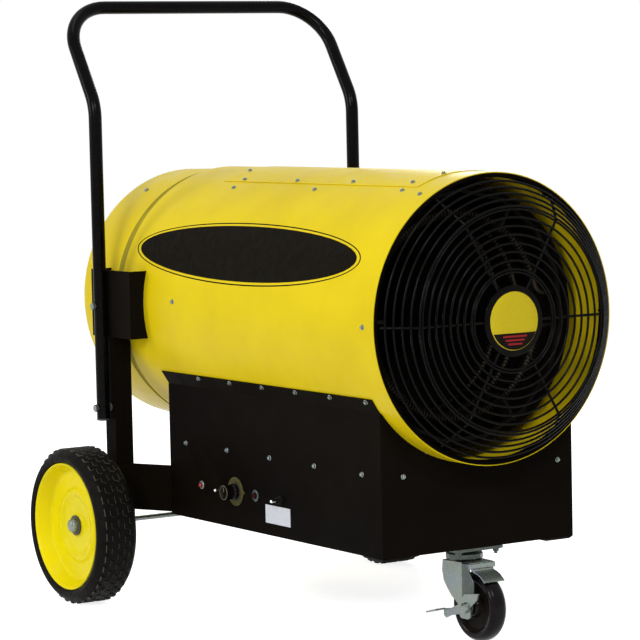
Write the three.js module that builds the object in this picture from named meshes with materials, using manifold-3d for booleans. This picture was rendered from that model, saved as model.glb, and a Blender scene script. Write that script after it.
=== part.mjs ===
// A wheeled electric forced air heater: a sheet-steel drum on a control cabinet, with a fan and finned
// heating elements inside, two pneumatic wheels and a push handle at the back, and a braked caster in front.
// Millimetres, +Z up, +X towards the warm air outlet. The control panel faces -Y, here called the near side.
// Inside the file X is counted from the drum's front edge; the last lines centre the whole machine.
import * as THREE from 'three';
import { mergeVertices } from 'three/addons/utils/BufferGeometryUtils.js';
import Module from 'manifold-3d';

const wasm = await Module();
wasm.setup();

// ---------------------------------------------------------------------------------------------------------
// Driving dimensions
const FIT = 0.3; // gap left between touching pieces
const SHEET = 1.5; // drum sheet thickness
const PANEL = 2; // cabinet sheet thickness
const PLATE = 3; // frame plate thickness

const DRUM_FACETS = 30;
const DRUM_R = 256.5; // outside of the drum jacket
const DRUM_LENGTH = 1030;
const JACKET_LENGTH = 868;
const JOINT_GAP = 26; // width of the swaged neck that shows between jacket and rear section
const JOINT_INSERT = 16; // how far the neck slides into the jacket
const JOINT_RECESS = 6; // depth of the neck's groove
const REAR_R = 252; // rear section, at its front end
const REAR_END_R = 249.5; // rear section, at the inlet
const WHEEL_R = 152.4;

const RING_LIP = 7.5; // front trim ring: radial lip
const RING_DEPTH = 20; // and the depth of its collar
const INLET_LIP = 16;
const INLET_DEPTH = 18;
const INLET_SETBACK = 2; // trim ring behind the rear edge

const LINER_R = 228;
const LINER_FRONT = 60; // distance of the liner's front flange behind the drum edge
const LINER_LENGTH = 592;

const WIRE_R = 2.1; // guard ring wire
const SPOKE_R = 2.4; // guard spoke wire
const GUARD_FLAT_X = 55; // the guard's flat zone stands this far in front of the drum edge
const GUARD_FLAT_R = 198;
const GUARD_LOW_X = 13; // the outermost ring
const GUARD_LOW_R = 241;
const GUARD_INNER_R = 89.5;
const GUARD_PITCH = 14.9;
const GUARD_RINGS = 6; // evenly pitched rings between the inner and the middle pair
const GUARD_PAIR = 5; // spacing of the rings of a pair
const SKIRT_RINGS = 4;
const SPOKES = 6;
const SPOKE_BEND_R = 5;
const WELD = 1.4; // how far welded wires sink into each other
const HUB_R = 62;
const HUB_THICKNESS = 3;
const BADGE_R = 51;
const BADGE_THICKNESS = 1.5;

const INLET_RINGS = 6;
const INLET_SPOKES = 4;
const INLET_INNER_R = 40;

const ELEMENTS = 3;
const ELEMENT_FRONT = 120; // first heating element behind the drum edge
const ELEMENT_PITCH = 60;
const ELEMENT_LOOP_R = 185;
const ELEMENT_TUBE_R = 8;
const ELEMENT_FACETS = 22; // puts a corner of the loop in every rack hole
const ELEMENT_LEAD_GAP = 60; // between an element's two ends
const ELEMENT_BEND_R = 22;
const RACK_BARS = 3;
const RACK_BAR = 6; // thickness of the bars that carry the elements
const RACK_HOLE_GAP = 2.4;
const RACK_MARGIN = 25; // rack length past the first and last element

const FAN_X = 690; // middle of the fan behind the drum edge
const FAN_R = 197;
const FAN_TIP_GAP = 6;
const FAN_BLADES = 5;
const FAN_HUB_R = 42;
const FAN_HUB_LENGTH = 46;
const BLADE_CHORD = 92;
const BLADE_THICKNESS = 2.5;
const BLADE_ROOT_DEG = 42;
const BLADE_TIP_DEG = 24;
const ORIFICE_DEPTH = 62;
const SHAFT_R = 8;
const MOTOR_R = 82;
const MOTOR_LENGTH = 165;
const MOTOR_GAP = 24; // fan hub to motor
const MOTOR_WALL = 14; // housing with its core, round the hollow that the rotor turns in
const SHAFT_PAST_HUB = 6;
const SHAFT_IN_MOTOR = 40;
const MOTOR_BAND = 34; // width of the motor's strap
const MOUNT_ARMS = 4;
const MOUNT_ARM_WIDTH = 30;

const COVER_FRONT = 70; // top access cover
const COVER_LENGTH = 645;
const COVER_HALF_DEG = 25;

const CABINET_FRONT = 54.5; // behind the drum edge
const CABINET_LENGTH = 721.5;
const CABINET_HALF = 208.5;
const CABINET_BOTTOM = 167;
const DRUM_ABOVE_CABINET = 408.4; // drum axis above the cabinet's underside
const FLANGE_DEG = 33; // where the side panels' flanges touch the drum, below the horizontal
const FLANGE_WIDTH = 30;
const PAN_LIP = 18;
const BAFFLE_BELOW_AXIS = 264.9; // wiring baffle under the drum
const BAFFLE_LIP = 10;
const FOOT_LENGTH = 58;
const FOOT_WIDTH = 62;
const FOOT_DEPTH = 5;

const LEG_X = 875; // leg centre behind the drum edge
const LEG_SIZE = 38;
const LEG_OUTER = 283; // leg's outer face from the middle plane
const LEG_ABOVE_AXIS = 52;
const LEG_BELOW_AXLE = 26;
const SADDLE_LENGTH = 150;
const SADDLE_HEIGHT = 130;
const SADDLE_X = 856; // saddle's middle behind the drum edge
const SADDLE_REACH = 46;
const ARM_HEIGHT = 90;
const ARM_ABOVE_BOTTOM = 4;
const ARM_TAB = 30;

const HANDLE_R = 12.7;
const HANDLE_FACETS = 8;
const HANDLE_TAIL = 21; // below the lower bolt
const HANDLE_BEND_ABOVE_AXIS = 383.3;
const HANDLE_LEAN_DEG = 32.9;
const HANDLE_LEAN = 228.2; // from the bend to the top bar
const HANDLE_BEND_R = 90;
const HANDLE_CORNER_R = 95;
const BOLT_R = 4;
const BOLT_HEAD_R = 7.2;
const BOLT_HEAD = 5.5;
const UPPER_BOLT_BELOW_AXIS = 4.4;
const BOLT_SPACING = 198;

const TYRE_FACETS = 20;
const TYRE_WIDTH = 85.6;
const LEG_TO_TYRE = 30.6;
const RIM_R = 122.5;
const RIM_WALL = 3;
const HUB_TUBE_R = 16;
const HUB_FACE = 28.8; // hub face inside the tyre's outer side
const AXLE_X = 866;
const AXLE_R = 5;
const BORE_GAP = 0.4; // running clearance on the radius
const CAP_NUT_R = 14;
const CAP_NUT_HEIGHT = 16;

const CASTER_X = 102; // swivel axis behind the drum edge
const CASTER_TRAIL = 44;
const CASTER_FACETS = 16;
const CASTER_R = 63.5;
const CASTER_WIDTH = 35;
const CASTER_PLATE_LENGTH = 96;
const CASTER_PLATE_WIDTH = 100;
const CASTER_PLATE = 5;
const RACEWAY_R = 33.5;
const RACEWAY = 20;
const FORK_WALL = 3;
const FORK_INNER = 25; // fork leg's inner face from the middle plane
const FORK_FLARE = 5; // how far the legs' rear edges stand out from their flat front part
const FORK_CREASE = 18; // the crease between the two, ahead of the swivel axis
const FORK_BACK = -30;
const FORK_FRONT = 57;
const CASTER_AXLE_R = 6;
const LEVER = 3;
const LEVER_LOBE = 38; // from the axle to the lever's upper and lower lobes and to the end of its pedal
const LEVER_HEEL = 20;
const LEVER_REACH = 96;
const PEDAL_LENGTH = 30;
const PEDAL_WIDTH = 18;
const SHOE_THICKNESS = 3;
const SHOE_GAP = 2.4; // brake shoe to tread, brake off
const SHOE_DEG = 60; // where the shoe meets the tread, above the horizontal
const SHOE_HALF = 21; // half the shoe's width, and the length of its pad
const SHOE_PAD = 30;
const SHOE_PIVOT_X = 51; // hinge pin ahead of the swivel axis
const SHOE_PIN_R = 3;

const CONTROL_Z = 236;
const PILOT_X = 657;
const POWER_TOGGLE_X = 577;
const THERMOSTAT_X = 536;
const RESET_X = 464;
const FAN_TOGGLE_X = 380;
const SWITCH_R = 6;
const TOGGLE_BORE = 4;
const TOGGLE_BALL_R = 3.4;
const TOGGLE_PIVOT = 3;
const PILOT_R = 8;
const LENS_R = 4.4;
const DIAL_R = 28;
const KNOB_R = 15;
const KNOB_HEIGHT = 24;
const KNOB_SHAFT_R = 3;
const KNOB_SHAFT_DEPTH = 14;
const RESET_R = 11;
const RESET_BUTTON_R = 5.6;
const RESET_NECK_R = 8;
const RESET_TRAVEL = 3;

const GLAND_Y = 95;
const GLAND_Z = 232;
const GLAND_R = 15;
const CONTACTOR_X = 330;
const CONTACTOR_Y = 90;

// Places that follow from the dimensions above
const AXLE_Z = WHEEL_R * Math.cos(Math.PI / TYRE_FACETS); // the wheels stand on a flat facet
const CASTER_AXLE_Z = CASTER_R * Math.cos(Math.PI / CASTER_FACETS);
const AXIS_Z = CABINET_BOTTOM + DRUM_ABOVE_CABINET;
const BAFFLE_Z = AXIS_Z - BAFFLE_BELOW_AXIS;
const UPPER_BOLT_Z = AXIS_Z - UPPER_BOLT_BELOW_AXIS;
const LOWER_BOLT_Z = UPPER_BOLT_Z - BOLT_SPACING;
const HANDLE_BOTTOM = LOWER_BOLT_Z - HANDLE_TAIL;
const HANDLE_BEND_Z = AXIS_Z + HANDLE_BEND_ABOVE_AXIS;
const TYRE_OUTER = LEG_OUTER + LEG_TO_TYRE + TYRE_WIDTH; // tyre's outer side from the middle plane
const HANDLE_Y = LEG_OUTER + PLATE + 2 * FIT + HANDLE_R;
const LEAN = THREE.MathUtils.degToRad(HANDLE_LEAN_DEG);
const HANDLE_TOP_X = -LEG_X - HANDLE_LEAN * Math.sin(LEAN);
const HANDLE_TOP_Z = HANDLE_BEND_Z + HANDLE_LEAN * Math.cos(LEAN);
const PANEL_BACK = -(CABINET_FRONT + CABINET_LENGTH);

// ---------------------------------------------------------------------------------------------------------
// Materials
const paint = (color, roughness, metalness = 0) =>
  new THREE.MeshStandardMaterial({ color, roughness, metalness });
const YELLOW = paint(0xe6d22c, 0.35);
const RIM_YELLOW = paint(0xf2e41c, 0.3);
const BLACK = paint(0x14120f, 0.4);
const WIRE = paint(0x0e0d0c, 0.25, 0.3);
const ZINC = paint(0xa7ada6, 0.35, 0.9);
const CHROME = paint(0xd8d8d4, 0.15, 1);
const RUBBER = paint(0x1c1b18, 0.85);
const BAKELITE = paint(0x241c1d, 0.35);
const ELEMENT = paint(0x5b544b, 0.5, 0.8);
const ALUMINIUM = paint(0xb9bcbd, 0.4, 0.9);
const RED_LENS = paint(0xb3122a, 0.2);
const OLIVE = paint(0x4c4a25, 0.6);
const MOTOR_GREY = paint(0x3a3d40, 0.5, 0.4);
const MOULDED = paint(0x2b2b2c, 0.6);

// ---------------------------------------------------------------------------------------------------------
// Shape helpers

// A closed geometry with shared corners and no collapsed triangles.
function welded(source) {
  const bare = source.index ? source.toNonIndexed() : source.clone();
  bare.deleteAttribute('normal');
  bare.deleteAttribute('uv');
  const merged = mergeVertices(bare, 1e-4);
  const kept = [];
  const index = merged.index.array;
  for (let i = 0; i < index.length; i += 3) {
    const [a, b, c] = [index[i], index[i + 1], index[i + 2]];
    if (a !== b && b !== c && c !== a) kept.push(a, b, c);
  }
  merged.setIndex(kept);
  return merged;
}

function toManifold(geometry) {
  const solid = welded(geometry);
  return new wasm.Manifold(new wasm.Mesh({
    numProp: 3,
    vertProperties: solid.attributes.position.array,
    triVerts: new Uint32Array(solid.index.array),
  }));
}

function fromManifold(solid) {
  const mesh = solid.getMesh();
  const geometry = new THREE.BufferGeometry();
  geometry.setAttribute('position', new THREE.BufferAttribute(new Float32Array(mesh.vertProperties), 3));
  geometry.setIndex(Array.from(mesh.triVerts));
  return geometry;
}

function join(...parts) {
  return fromManifold(parts.map(toManifold).reduce((sum, part) => sum.add(part)));
}

function cut(body, ...tools) {
  return fromManifold(tools.map(toManifold).reduce((left, tool) => left.subtract(tool), toManifold(body)));
}

function common(body, tool) {
  return fromManifold(toManifold(body).intersect(toManifold(tool)));
}

// Turns a closed outline of [radius, height] points, or an open one that starts and ends on the axis.
function turned(outline, facets) {
  let area = 0;
  outline.forEach(([r, h], i) => {
    const [r2, h2] = outline[(i + 1) % outline.length];
    area += r * h2 - r2 * h;
  });
  const loop = (area > 0 ? outline : [...outline].reverse()).map(([r, h]) => new THREE.Vector2(r, h));
  loop.push(loop[0].clone());
  return welded(new THREE.LatheGeometry(loop, facets));
}

// The same, with the heights along +X, and with heights along +Z.
const turnedX = (outline, facets = DRUM_FACETS) => turned(outline, facets).rotateZ(-Math.PI / 2);
const turnedZ = (outline, facets) => turned(outline, facets).rotateX(Math.PI / 2);

// A drum-size ring: outer and inner radius between two distances behind the drum edge.
const sleeve = (outer, inner, front, back, facets = DRUM_FACETS) =>
  turnedX([[outer, -back], [outer, -front], [inner, -front], [inner, -back]], facets);

function rod(radius, length, facets) {
  return new THREE.CylinderGeometry(radius, radius, length, facets);
}
const rodX = (radius, length, facets = 16) => rod(radius, length, facets).rotateZ(-Math.PI / 2);
const rodZ = (radius, length, facets = 16) => rod(radius, length, facets).rotateX(Math.PI / 2);

const box = (x, y, z) => new THREE.BoxGeometry(x, y, z);

// A box between two opposite corners.
function block([x1, y1, z1], [x2, y2, z2]) {
  return box(Math.abs(x2 - x1), Math.abs(y2 - y1), Math.abs(z2 - z1))
    .translate((x1 + x2) / 2, (y1 + y2) / 2, (z1 + z2) / 2);
}

function outlineShape(points) {
  return new THREE.Shape(points.map(([x, y]) => new THREE.Vector2(x, y)));
}

// Extrudes a plan outline of [x, y] points between two heights.
function upright(points, bottom, top) {
  const shape = outlineShape(points);
  return new THREE.ExtrudeGeometry(shape, { depth: top - bottom, bevelEnabled: false })
    .translate(0, 0, bottom);
}

// Extrudes an outline of [y, z] points along +X from one X to another.
function alongX(points, from, to) {
  const shape = outlineShape(points);
  return new THREE.ExtrudeGeometry(shape, { depth: to - from, bevelEnabled: false })
    .rotateX(Math.PI / 2)
    .rotateZ(Math.PI / 2)
    .translate(from, 0, 0);
}

// Extrudes a side outline of [x, z] points along Y from one Y to another.
function alongY(shape, from, to) {
  return new THREE.ExtrudeGeometry(shape, { depth: Math.abs(to - from), bevelEnabled: false, curveSegments: 3 })
    .rotateX(Math.PI / 2)
    .translate(0, Math.max(from, to), 0);
}

// A strip of even thickness that follows a polyline of [x, y] points.
function stripOutline(points, thickness) {
  const offset = (side) => points.map(([x, y], i) => {
    const before = points[Math.max(i - 1, 0)];
    const after = points[Math.min(i + 1, points.length - 1)];
    const here = new THREE.Vector2(x, y);
    const into = new THREE.Vector2(x - before[0], y - before[1]);
    const out = new THREE.Vector2(after[0] - x, after[1] - y);
    const a = (into.length() ? into : out).clone().normalize();
    const b = (out.length() ? out : into).clone().normalize();
    const normalA = new THREE.Vector2(-a.y, a.x);
    const bisector = normalA.clone().add(new THREE.Vector2(-b.y, b.x)).normalize();
    const reach = thickness / 2 / bisector.dot(normalA);
    const moved = here.add(bisector.multiplyScalar(side * reach));
    return [moved.x, moved.y];
  });
  return [...offset(-1), ...offset(1).reverse()];
}

// A path kept as stations, each a point with its own direction, for sweeping a section along.
class StationPath extends THREE.Curve {
  constructor() {
    super();
    this.stations = [];
  }
  add(point, direction) {
    this.stations.push({ point, direction });
  }
  get steps() {
    return this.stations.length - 1;
  }
  station(u) {
    return this.stations[Math.round(u * this.steps)];
  }
  getPointAt(u) {
    return this.station(u).point.clone();
  }
  getTangentAt(u) {
    return this.station(u).direction.clone();
  }
  getSpacedPoints() {
    return this.stations.map(({ point }) => point.clone());
  }

  // Moves in a plane across X: a start and heading, straight runs, and turns to the left (positive).
  start(x, y, z, heading) {
    Object.assign(this, { x, y, z, heading });
    this.mark();
  }
  mark() {
    const direction = new THREE.Vector3(0, Math.cos(this.heading), Math.sin(this.heading));
    this.add(new THREE.Vector3(this.x, this.y, this.z), direction);
  }
  forward(distance) {
    this.y += distance * Math.cos(this.heading);
    this.z += distance * Math.sin(this.heading);
    this.mark();
  }
  turn(angle, radius, steps) {
    const side = Math.sign(angle);
    const centreY = this.y - side * radius * Math.sin(this.heading);
    const centreZ = this.z + side * radius * Math.cos(this.heading);
    for (let k = 1; k <= steps; k += 1) {
      this.heading += angle / steps;
      this.y = centreY + side * radius * Math.sin(this.heading);
      this.z = centreZ - side * radius * Math.cos(this.heading);
      this.mark();
    }
  }
}

// A path along straight stretches between corners, each corner rounded to its own radius.
function bentPath(corners, radii, steps) {
  const path = new StationPath();
  const points = corners.map((corner) => new THREE.Vector3(...corner));
  path.add(points[0], points[1].clone().sub(points[0]).normalize());
  for (let i = 1; i < points.length - 1; i += 1) {
    const before = points[i].clone().sub(points[i - 1]).normalize();
    const after = points[i + 1].clone().sub(points[i]).normalize();
    const turn = before.angleTo(after);
    const axis = before.clone().cross(after).normalize();
    const start = points[i].clone().addScaledVector(before, -radii[i - 1] * Math.tan(turn / 2));
    const centre = start.clone().addScaledVector(axis.clone().cross(before), radii[i - 1]);
    for (let k = 0; k <= steps; k += 1) {
      const arm = start.clone().sub(centre).applyAxisAngle(axis, turn * k / steps);
      path.add(centre.clone().add(arm), before.clone().applyAxisAngle(axis, turn * k / steps));
    }
  }
  const last = points.length - 1;
  path.add(points[last], points[last].clone().sub(points[last - 1]).normalize());
  return path;
}

// A round wire or tube along a path.
function bentTube(path, radius, facets) {
  const section = Array.from({ length: facets }, (_, i) => {
    const angle = 2 * Math.PI * (i + 0.5) / facets;
    return [radius * Math.cos(angle), radius * Math.sin(angle)];
  });
  return new THREE.ExtrudeGeometry(outlineShape(section), {
    steps: path.steps,
    extrudePath: path,
    bevelEnabled: false,
  });
}

// A ring of wire around the X axis, turned so that its straight facets cross the spokes.
function wireRing(radius, x, wire, facets, sides) {
  return new THREE.TorusGeometry(radius, wire, sides, facets)
    .rotateY(Math.PI / 2)
    .rotateX(Math.PI / facets)
    .translate(x, 0, 0);
}

function named(name, geometry, material) {
  const mesh = new THREE.Mesh(welded(geometry), material);
  mesh.name = name;
  return mesh;
}

// ---------------------------------------------------------------------------------------------------------
// Drum shells, made around the X axis

// The drum's outer surface, grown by a clearance: the tool that copes whatever bears on it.
function drumEnvelope(clearance) {
  const neck = -(JACKET_LENGTH + JOINT_GAP);
  return turnedX([
    [0, -DRUM_LENGTH - 50],
    [REAR_END_R + clearance, -DRUM_LENGTH - 50],
    [REAR_END_R + clearance, -DRUM_LENGTH],
    [REAR_R + clearance, neck],
    [DRUM_R + clearance, neck],
    [DRUM_R + clearance, 50],
    [0, 50],
  ]);
}

function drumJacket() {
  return named('drum_jacket', sleeve(DRUM_R, DRUM_R - SHEET, 0, JACKET_LENGTH), YELLOW);
}

// The rear section's front end is swaged down: a groove that shows, then a neck inside the jacket.
function rearSection() {
  const neckR = DRUM_R - SHEET - FIT;
  const grooveR = DRUM_R - JOINT_RECESS;
  const joint = -JACKET_LENGTH;
  const shoulder = joint - JOINT_GAP;
  return named('rear_section', turnedX([
    [REAR_END_R, -DRUM_LENGTH],
    [REAR_R, shoulder],
    [grooveR, shoulder],
    [grooveR, joint - FIT],
    [neckR, joint - FIT],
    [neckR, joint + JOINT_INSERT],
    [grooveR - SHEET, joint + JOINT_INSERT],
    [grooveR - SHEET, shoulder - SHEET],
    [REAR_END_R - SHEET, -DRUM_LENGTH],
  ]), YELLOW);
}

function outletRing() {
  const outer = DRUM_R - SHEET - FIT;
  const inner = outer - RING_LIP;
  return named('outlet_ring', turnedX([
    [outer, -SHEET],
    [outer, 0],
    [inner, 0],
    [inner, -RING_DEPTH],
    [inner + SHEET, -RING_DEPTH],
    [inner + SHEET, -SHEET],
  ]), BLACK);
}

function inletRing() {
  const outer = REAR_END_R - SHEET - FIT;
  const back = -DRUM_LENGTH + INLET_SETBACK;
  return named('inlet_ring', turnedX([
    [outer - INLET_LIP, back],
    [outer, back],
    [outer, back + INLET_DEPTH],
    [outer - SHEET, back + INLET_DEPTH],
    [outer - SHEET, back + SHEET],
    [outer - INLET_LIP, back + SHEET],
  ]), BLACK);
}

// The black inner tube that keeps the element heat off the jacket, with a flange at each end.
function innerLiner() {
  const outer = DRUM_R - SHEET - FIT;
  const front = -LINER_FRONT;
  const back = -(LINER_FRONT + LINER_LENGTH);
  const inner = LINER_R - SHEET;
  return named('inner_liner', turnedX([
    [inner, back],
    [outer, back],
    [outer, back + SHEET],
    [LINER_R, back + SHEET],
    [LINER_R, front - SHEET],
    [outer, front - SHEET],
    [outer, front],
    [inner, front],
  ]), BLACK);
}

function fanOrifice() {
  const outer = DRUM_R - SHEET - FIT;
  const throat = FAN_R + FAN_TIP_GAP;
  const front = -FAN_X + ORIFICE_DEPTH / 2;
  const back = front - ORIFICE_DEPTH;
  return named('fan_orifice', turnedX([
    [throat, back],
    [outer, back],
    [outer, back + SHEET],
    [throat + SHEET, back + SHEET],
    [throat + SHEET, front],
    [throat, front],
  ]), BLACK);
}

// ---------------------------------------------------------------------------------------------------------
// Wire guards

// The outlet guard: a flat zone of rings in front, a sloping skirt, and spokes that reach the trim ring.
function outletGuard() {
  const ringFacets = (radius) => (radius > GUARD_FLAT_R - GUARD_PAIR ? 18 : 12);
  const collarR = DRUM_R - SHEET - FIT - RING_LIP;
  const rings = [[GUARD_INNER_R, GUARD_FLAT_X], [GUARD_INNER_R - GUARD_PAIR, GUARD_FLAT_X]];
  for (let i = 1; i <= GUARD_RINGS; i += 1) rings.push([GUARD_INNER_R + i * GUARD_PITCH, GUARD_FLAT_X]);
  rings.push([GUARD_FLAT_R - GUARD_PAIR, GUARD_FLAT_X], [GUARD_FLAT_R, GUARD_FLAT_X]);
  for (let i = 1; i <= SKIRT_RINGS; i += 1) {
    const share = i / SKIRT_RINGS;
    rings.push([
      THREE.MathUtils.lerp(GUARD_FLAT_R, GUARD_LOW_R, share),
      THREE.MathUtils.lerp(GUARD_FLAT_X, GUARD_LOW_X, share),
    ]);
  }
  const wires = rings.map(([radius, x]) => wireRing(radius, x, WIRE_R, ringFacets(radius), 3));
  const under = WIRE_R + SPOKE_R - WELD; // spokes are welded behind the rings
  const slope = Math.atan2(GUARD_FLAT_X - GUARD_LOW_X, GUARD_LOW_R - GUARD_FLAT_R);
  const shift = under * Math.tan(slope / 2);
  const footR = collarR - FIT - SPOKE_R; // the spokes end against the inside of the trim ring's collar
  const drop = (footR - GUARD_LOW_R + under * Math.sin(slope)) * Math.tan(slope);
  const path = bentPath([
    [GUARD_FLAT_X - under, HUB_R * 0.35, 0],
    [GUARD_FLAT_X - under, GUARD_FLAT_R - shift, 0],
    [GUARD_LOW_X - drop - under * Math.cos(slope), footR, 0],
    [-RING_DEPTH * 0.8, footR, 0],
  ], [SPOKE_BEND_R, SPOKE_BEND_R], 2);
  const spoke = bentTube(path, SPOKE_R, 4);
  for (let i = 0; i < SPOKES; i += 1) wires.push(spoke.clone().rotateX(2 * Math.PI * i / SPOKES));
  const rim = rodX(collarR - FIT, 4 * DRUM_R, DRUM_FACETS);
  const hub = rodX(HUB_R, HUB_THICKNESS, 24).translate(GUARD_FLAT_X - under + SPOKE_R, 0, 0);
  return named('outlet_guard', common(join(...wires, hub), rim), WIRE);
}

function hubBadge() {
  const hubFront = GUARD_FLAT_X - WIRE_R + WELD + HUB_THICKNESS / 2;
  const middle = hubFront + FIT + BADGE_THICKNESS / 2;
  return named('hub_badge', rodX(BADGE_R, BADGE_THICKNESS, 24).translate(middle, 0, 0), YELLOW);
}

function inletGuard() {
  const lipInner = REAR_END_R - SHEET - FIT - INLET_LIP;
  const x = -DRUM_LENGTH + INLET_SETBACK + SHEET / 2;
  const reach = lipInner * Math.cos(Math.PI / DRUM_FACETS) - FIT; // clears the flats of the faceted lip
  const pitch = (reach - WIRE_R - INLET_INNER_R) / (INLET_RINGS - 1);
  const wires = [];
  for (let i = 0; i < INLET_RINGS; i += 1) {
    wires.push(wireRing(INLET_INNER_R + i * pitch, x, WIRE_R, i > 1 ? 18 : 12, 4));
  }
  for (let i = 0; i < INLET_SPOKES; i += 1) {
    const length = reach - INLET_INNER_R + WIRE_R;
    const bar = rodZ(SPOKE_R, length, 4).translate(x + WIRE_R, 0, INLET_INNER_R - WIRE_R + length / 2);
    wires.push(bar.rotateX(2 * Math.PI * (i + 0.5) / INLET_SPOKES));
  }
  return named('inlet_guard', join(...wires), WIRE);
}

// ---------------------------------------------------------------------------------------------------------
// Heating elements and their rack

const elementX = (i) => -(ELEMENT_FRONT + i * ELEMENT_PITCH);

// One element: an open loop whose two parallel ends turn outwards to their terminals in the liner.
function heatingElement(i) {
  const lead = ELEMENT_LEAD_GAP / 2;
  const wall = (LINER_R - SHEET) * Math.cos(Math.PI / DRUM_FACETS) - FIT;
  const reach = Math.sqrt(wall ** 2 - (lead + ELEMENT_TUBE_R) ** 2);
  const bendY = Math.sqrt((ELEMENT_LOOP_R + ELEMENT_BEND_R) ** 2 - (lead + ELEMENT_BEND_R) ** 2);
  const meet = Math.atan2(lead + ELEMENT_BEND_R, bendY);
  const path = new StationPath();
  path.start(elementX(i), reach, lead, Math.PI);
  path.forward(reach - bendY);
  path.turn(meet - Math.PI / 2, ELEMENT_BEND_R, 2);
  path.turn(2 * Math.PI - 2 * meet, ELEMENT_LOOP_R, ELEMENT_FACETS);
  path.turn(meet - Math.PI / 2, ELEMENT_BEND_R, 2);
  path.forward(reach - bendY);
  return named(`heating_element_${i + 1}`, bentTube(path, ELEMENT_TUBE_R, 5), ELEMENT);
}

// Three bars on the liner's wall, tied by a ring in front, with a hole for every element.
function elementRack() {
  const wall = LINER_R - SHEET - FIT;
  const front = -ELEMENT_FRONT + RACK_MARGIN;
  const back = elementX(ELEMENTS - 1) - RACK_MARGIN;
  const inner = ELEMENT_LOOP_R - 2 * ELEMENT_TUBE_R;
  const ring = sleeve(wall, wall - RACK_BAR, -front, -front + RACK_BAR, DRUM_FACETS / 2);
  const parts = [];
  const holes = [];
  for (let i = 0; i < RACK_BARS; i += 1) {
    const turn = Math.PI / 2 + 2 * Math.PI * i / RACK_BARS;
    parts.push(block([back, -RACK_BAR / 2, inner], [front, RACK_BAR / 2, wall - 1]).rotateX(turn));
    for (let k = 0; k < ELEMENTS; k += 1) {
      const hole = rod(ELEMENT_TUBE_R + RACK_HOLE_GAP, 4 * RACK_BAR, 6).rotateY(Math.PI / 6);
      holes.push(hole.translate(elementX(k), 0, ELEMENT_LOOP_R).rotateX(turn));
    }
  }
  return named('element_rack', cut(join(ring, ...parts), ...holes), ALUMINIUM);
}

// ---------------------------------------------------------------------------------------------------------
// Fan and motor

// A blade along +Z whose pitch falls from root to tip.
function blade() {
  const root = FAN_HUB_R * 0.8;
  const span = FAN_R - root;
  const shaped = new THREE.BoxGeometry(BLADE_THICKNESS, BLADE_CHORD, span, 1, 1, 2);
  const place = shaped.attributes.position;
  for (let i = 0; i < place.count; i += 1) {
    const share = place.getZ(i) / span + 0.5;
    const pitch = THREE.MathUtils.degToRad(THREE.MathUtils.lerp(BLADE_ROOT_DEG, BLADE_TIP_DEG, share));
    const width = THREE.MathUtils.lerp(0.72, 1, share);
    const x = place.getX(i);
    const y = place.getY(i) * width;
    place.setX(i, x * Math.cos(pitch) + y * Math.sin(pitch));
    place.setY(i, y * Math.cos(pitch) - x * Math.sin(pitch));
  }
  return shaped.translate(0, 0, root + span / 2);
}

function fanRotor() {
  const parts = [rodX(FAN_HUB_R, FAN_HUB_LENGTH, 15)];
  for (let i = 0; i < FAN_BLADES; i += 1) parts.push(blade().rotateX(2 * Math.PI * i / FAN_BLADES));
  const sweep = rodX(FAN_R, 4 * FAN_HUB_LENGTH, 20);
  const bore = rodX(SHAFT_R + FIT, 2 * FAN_HUB_LENGTH, 10);
  return named('fan_rotor', cut(common(join(...parts), sweep), bore).translate(-FAN_X, 0, 0), ALUMINIUM);
}

const motorFront = () => -(FAN_X + FAN_HUB_LENGTH / 2 + MOTOR_GAP);

function fanShaft() {
  const front = -FAN_X + FAN_HUB_LENGTH / 2 + SHAFT_PAST_HUB;
  const back = motorFront() - SHAFT_IN_MOTOR;
  return named('fan_shaft', rodX(SHAFT_R, front - back, 10).translate((front + back) / 2, 0, 0), ZINC);
}

function motorHousing() {
  const front = motorFront();
  const back = front - MOTOR_LENGTH;
  const bore = SHAFT_R + BORE_GAP;
  return named('motor_housing', turnedX([
    [0, back],
    [MOTOR_R * 0.6, back],
    [MOTOR_R * 0.94, back + 14],
    [MOTOR_R, back + 30],
    [MOTOR_R, front - 26],
    [MOTOR_R * 0.9, front - 8],
    [MOTOR_R * 0.35, front],
    [bore, front],
    [bore, front - MOTOR_WALL],
    [MOTOR_R - MOTOR_WALL, front - 2 * MOTOR_WALL],
    [MOTOR_R - MOTOR_WALL, back + 2 * MOTOR_WALL],
    [0, back + MOTOR_WALL],
  ], 16), MOTOR_GREY);
}

// A strap round the motor with arms to the drum wall.
function motorMount() {
  const middle = motorFront() - MOTOR_LENGTH / 2;
  const strap = MOTOR_R + FIT;
  const wall = DRUM_R - SHEET - FIT;
  const half = MOTOR_BAND / 2;
  const parts = [turnedX([
    [strap + PLATE, -half],
    [strap + PLATE, half],
    [strap, half],
    [strap, -half],
  ], 16)];
  for (let i = 0; i < MOUNT_ARMS; i += 1) {
    const arm = box(MOTOR_BAND, PLATE, wall - strap).translate(0, 0, (wall + strap) / 2 + 1);
    const tab = box(MOTOR_BAND, MOUNT_ARM_WIDTH, PLATE).translate(0, 0, wall - PLATE / 2 - 1);
    parts.push(join(arm, tab).rotateX(2 * Math.PI * (i + 0.5) / MOUNT_ARMS));
  }
  const inside = rodX(wall, 2 * MOTOR_BAND, DRUM_FACETS);
  return named('motor_mount', common(join(...parts), inside).translate(middle, 0, 0), BLACK);
}

function topAccessCover() {
  const inner = DRUM_R + FIT;
  const sheet = sleeve(inner + SHEET, inner, COVER_FRONT, COVER_FRONT + COVER_LENGTH);
  const half = THREE.MathUtils.degToRad(COVER_HALF_DEG);
  const side = 1.5 * DRUM_R * Math.tan(half);
  const wedge = alongX([[0, 0], [side, 1.5 * DRUM_R], [-side, 1.5 * DRUM_R]], -DRUM_LENGTH, 0);
  return named('top_access_cover', common(sheet, wedge), YELLOW);
}

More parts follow.
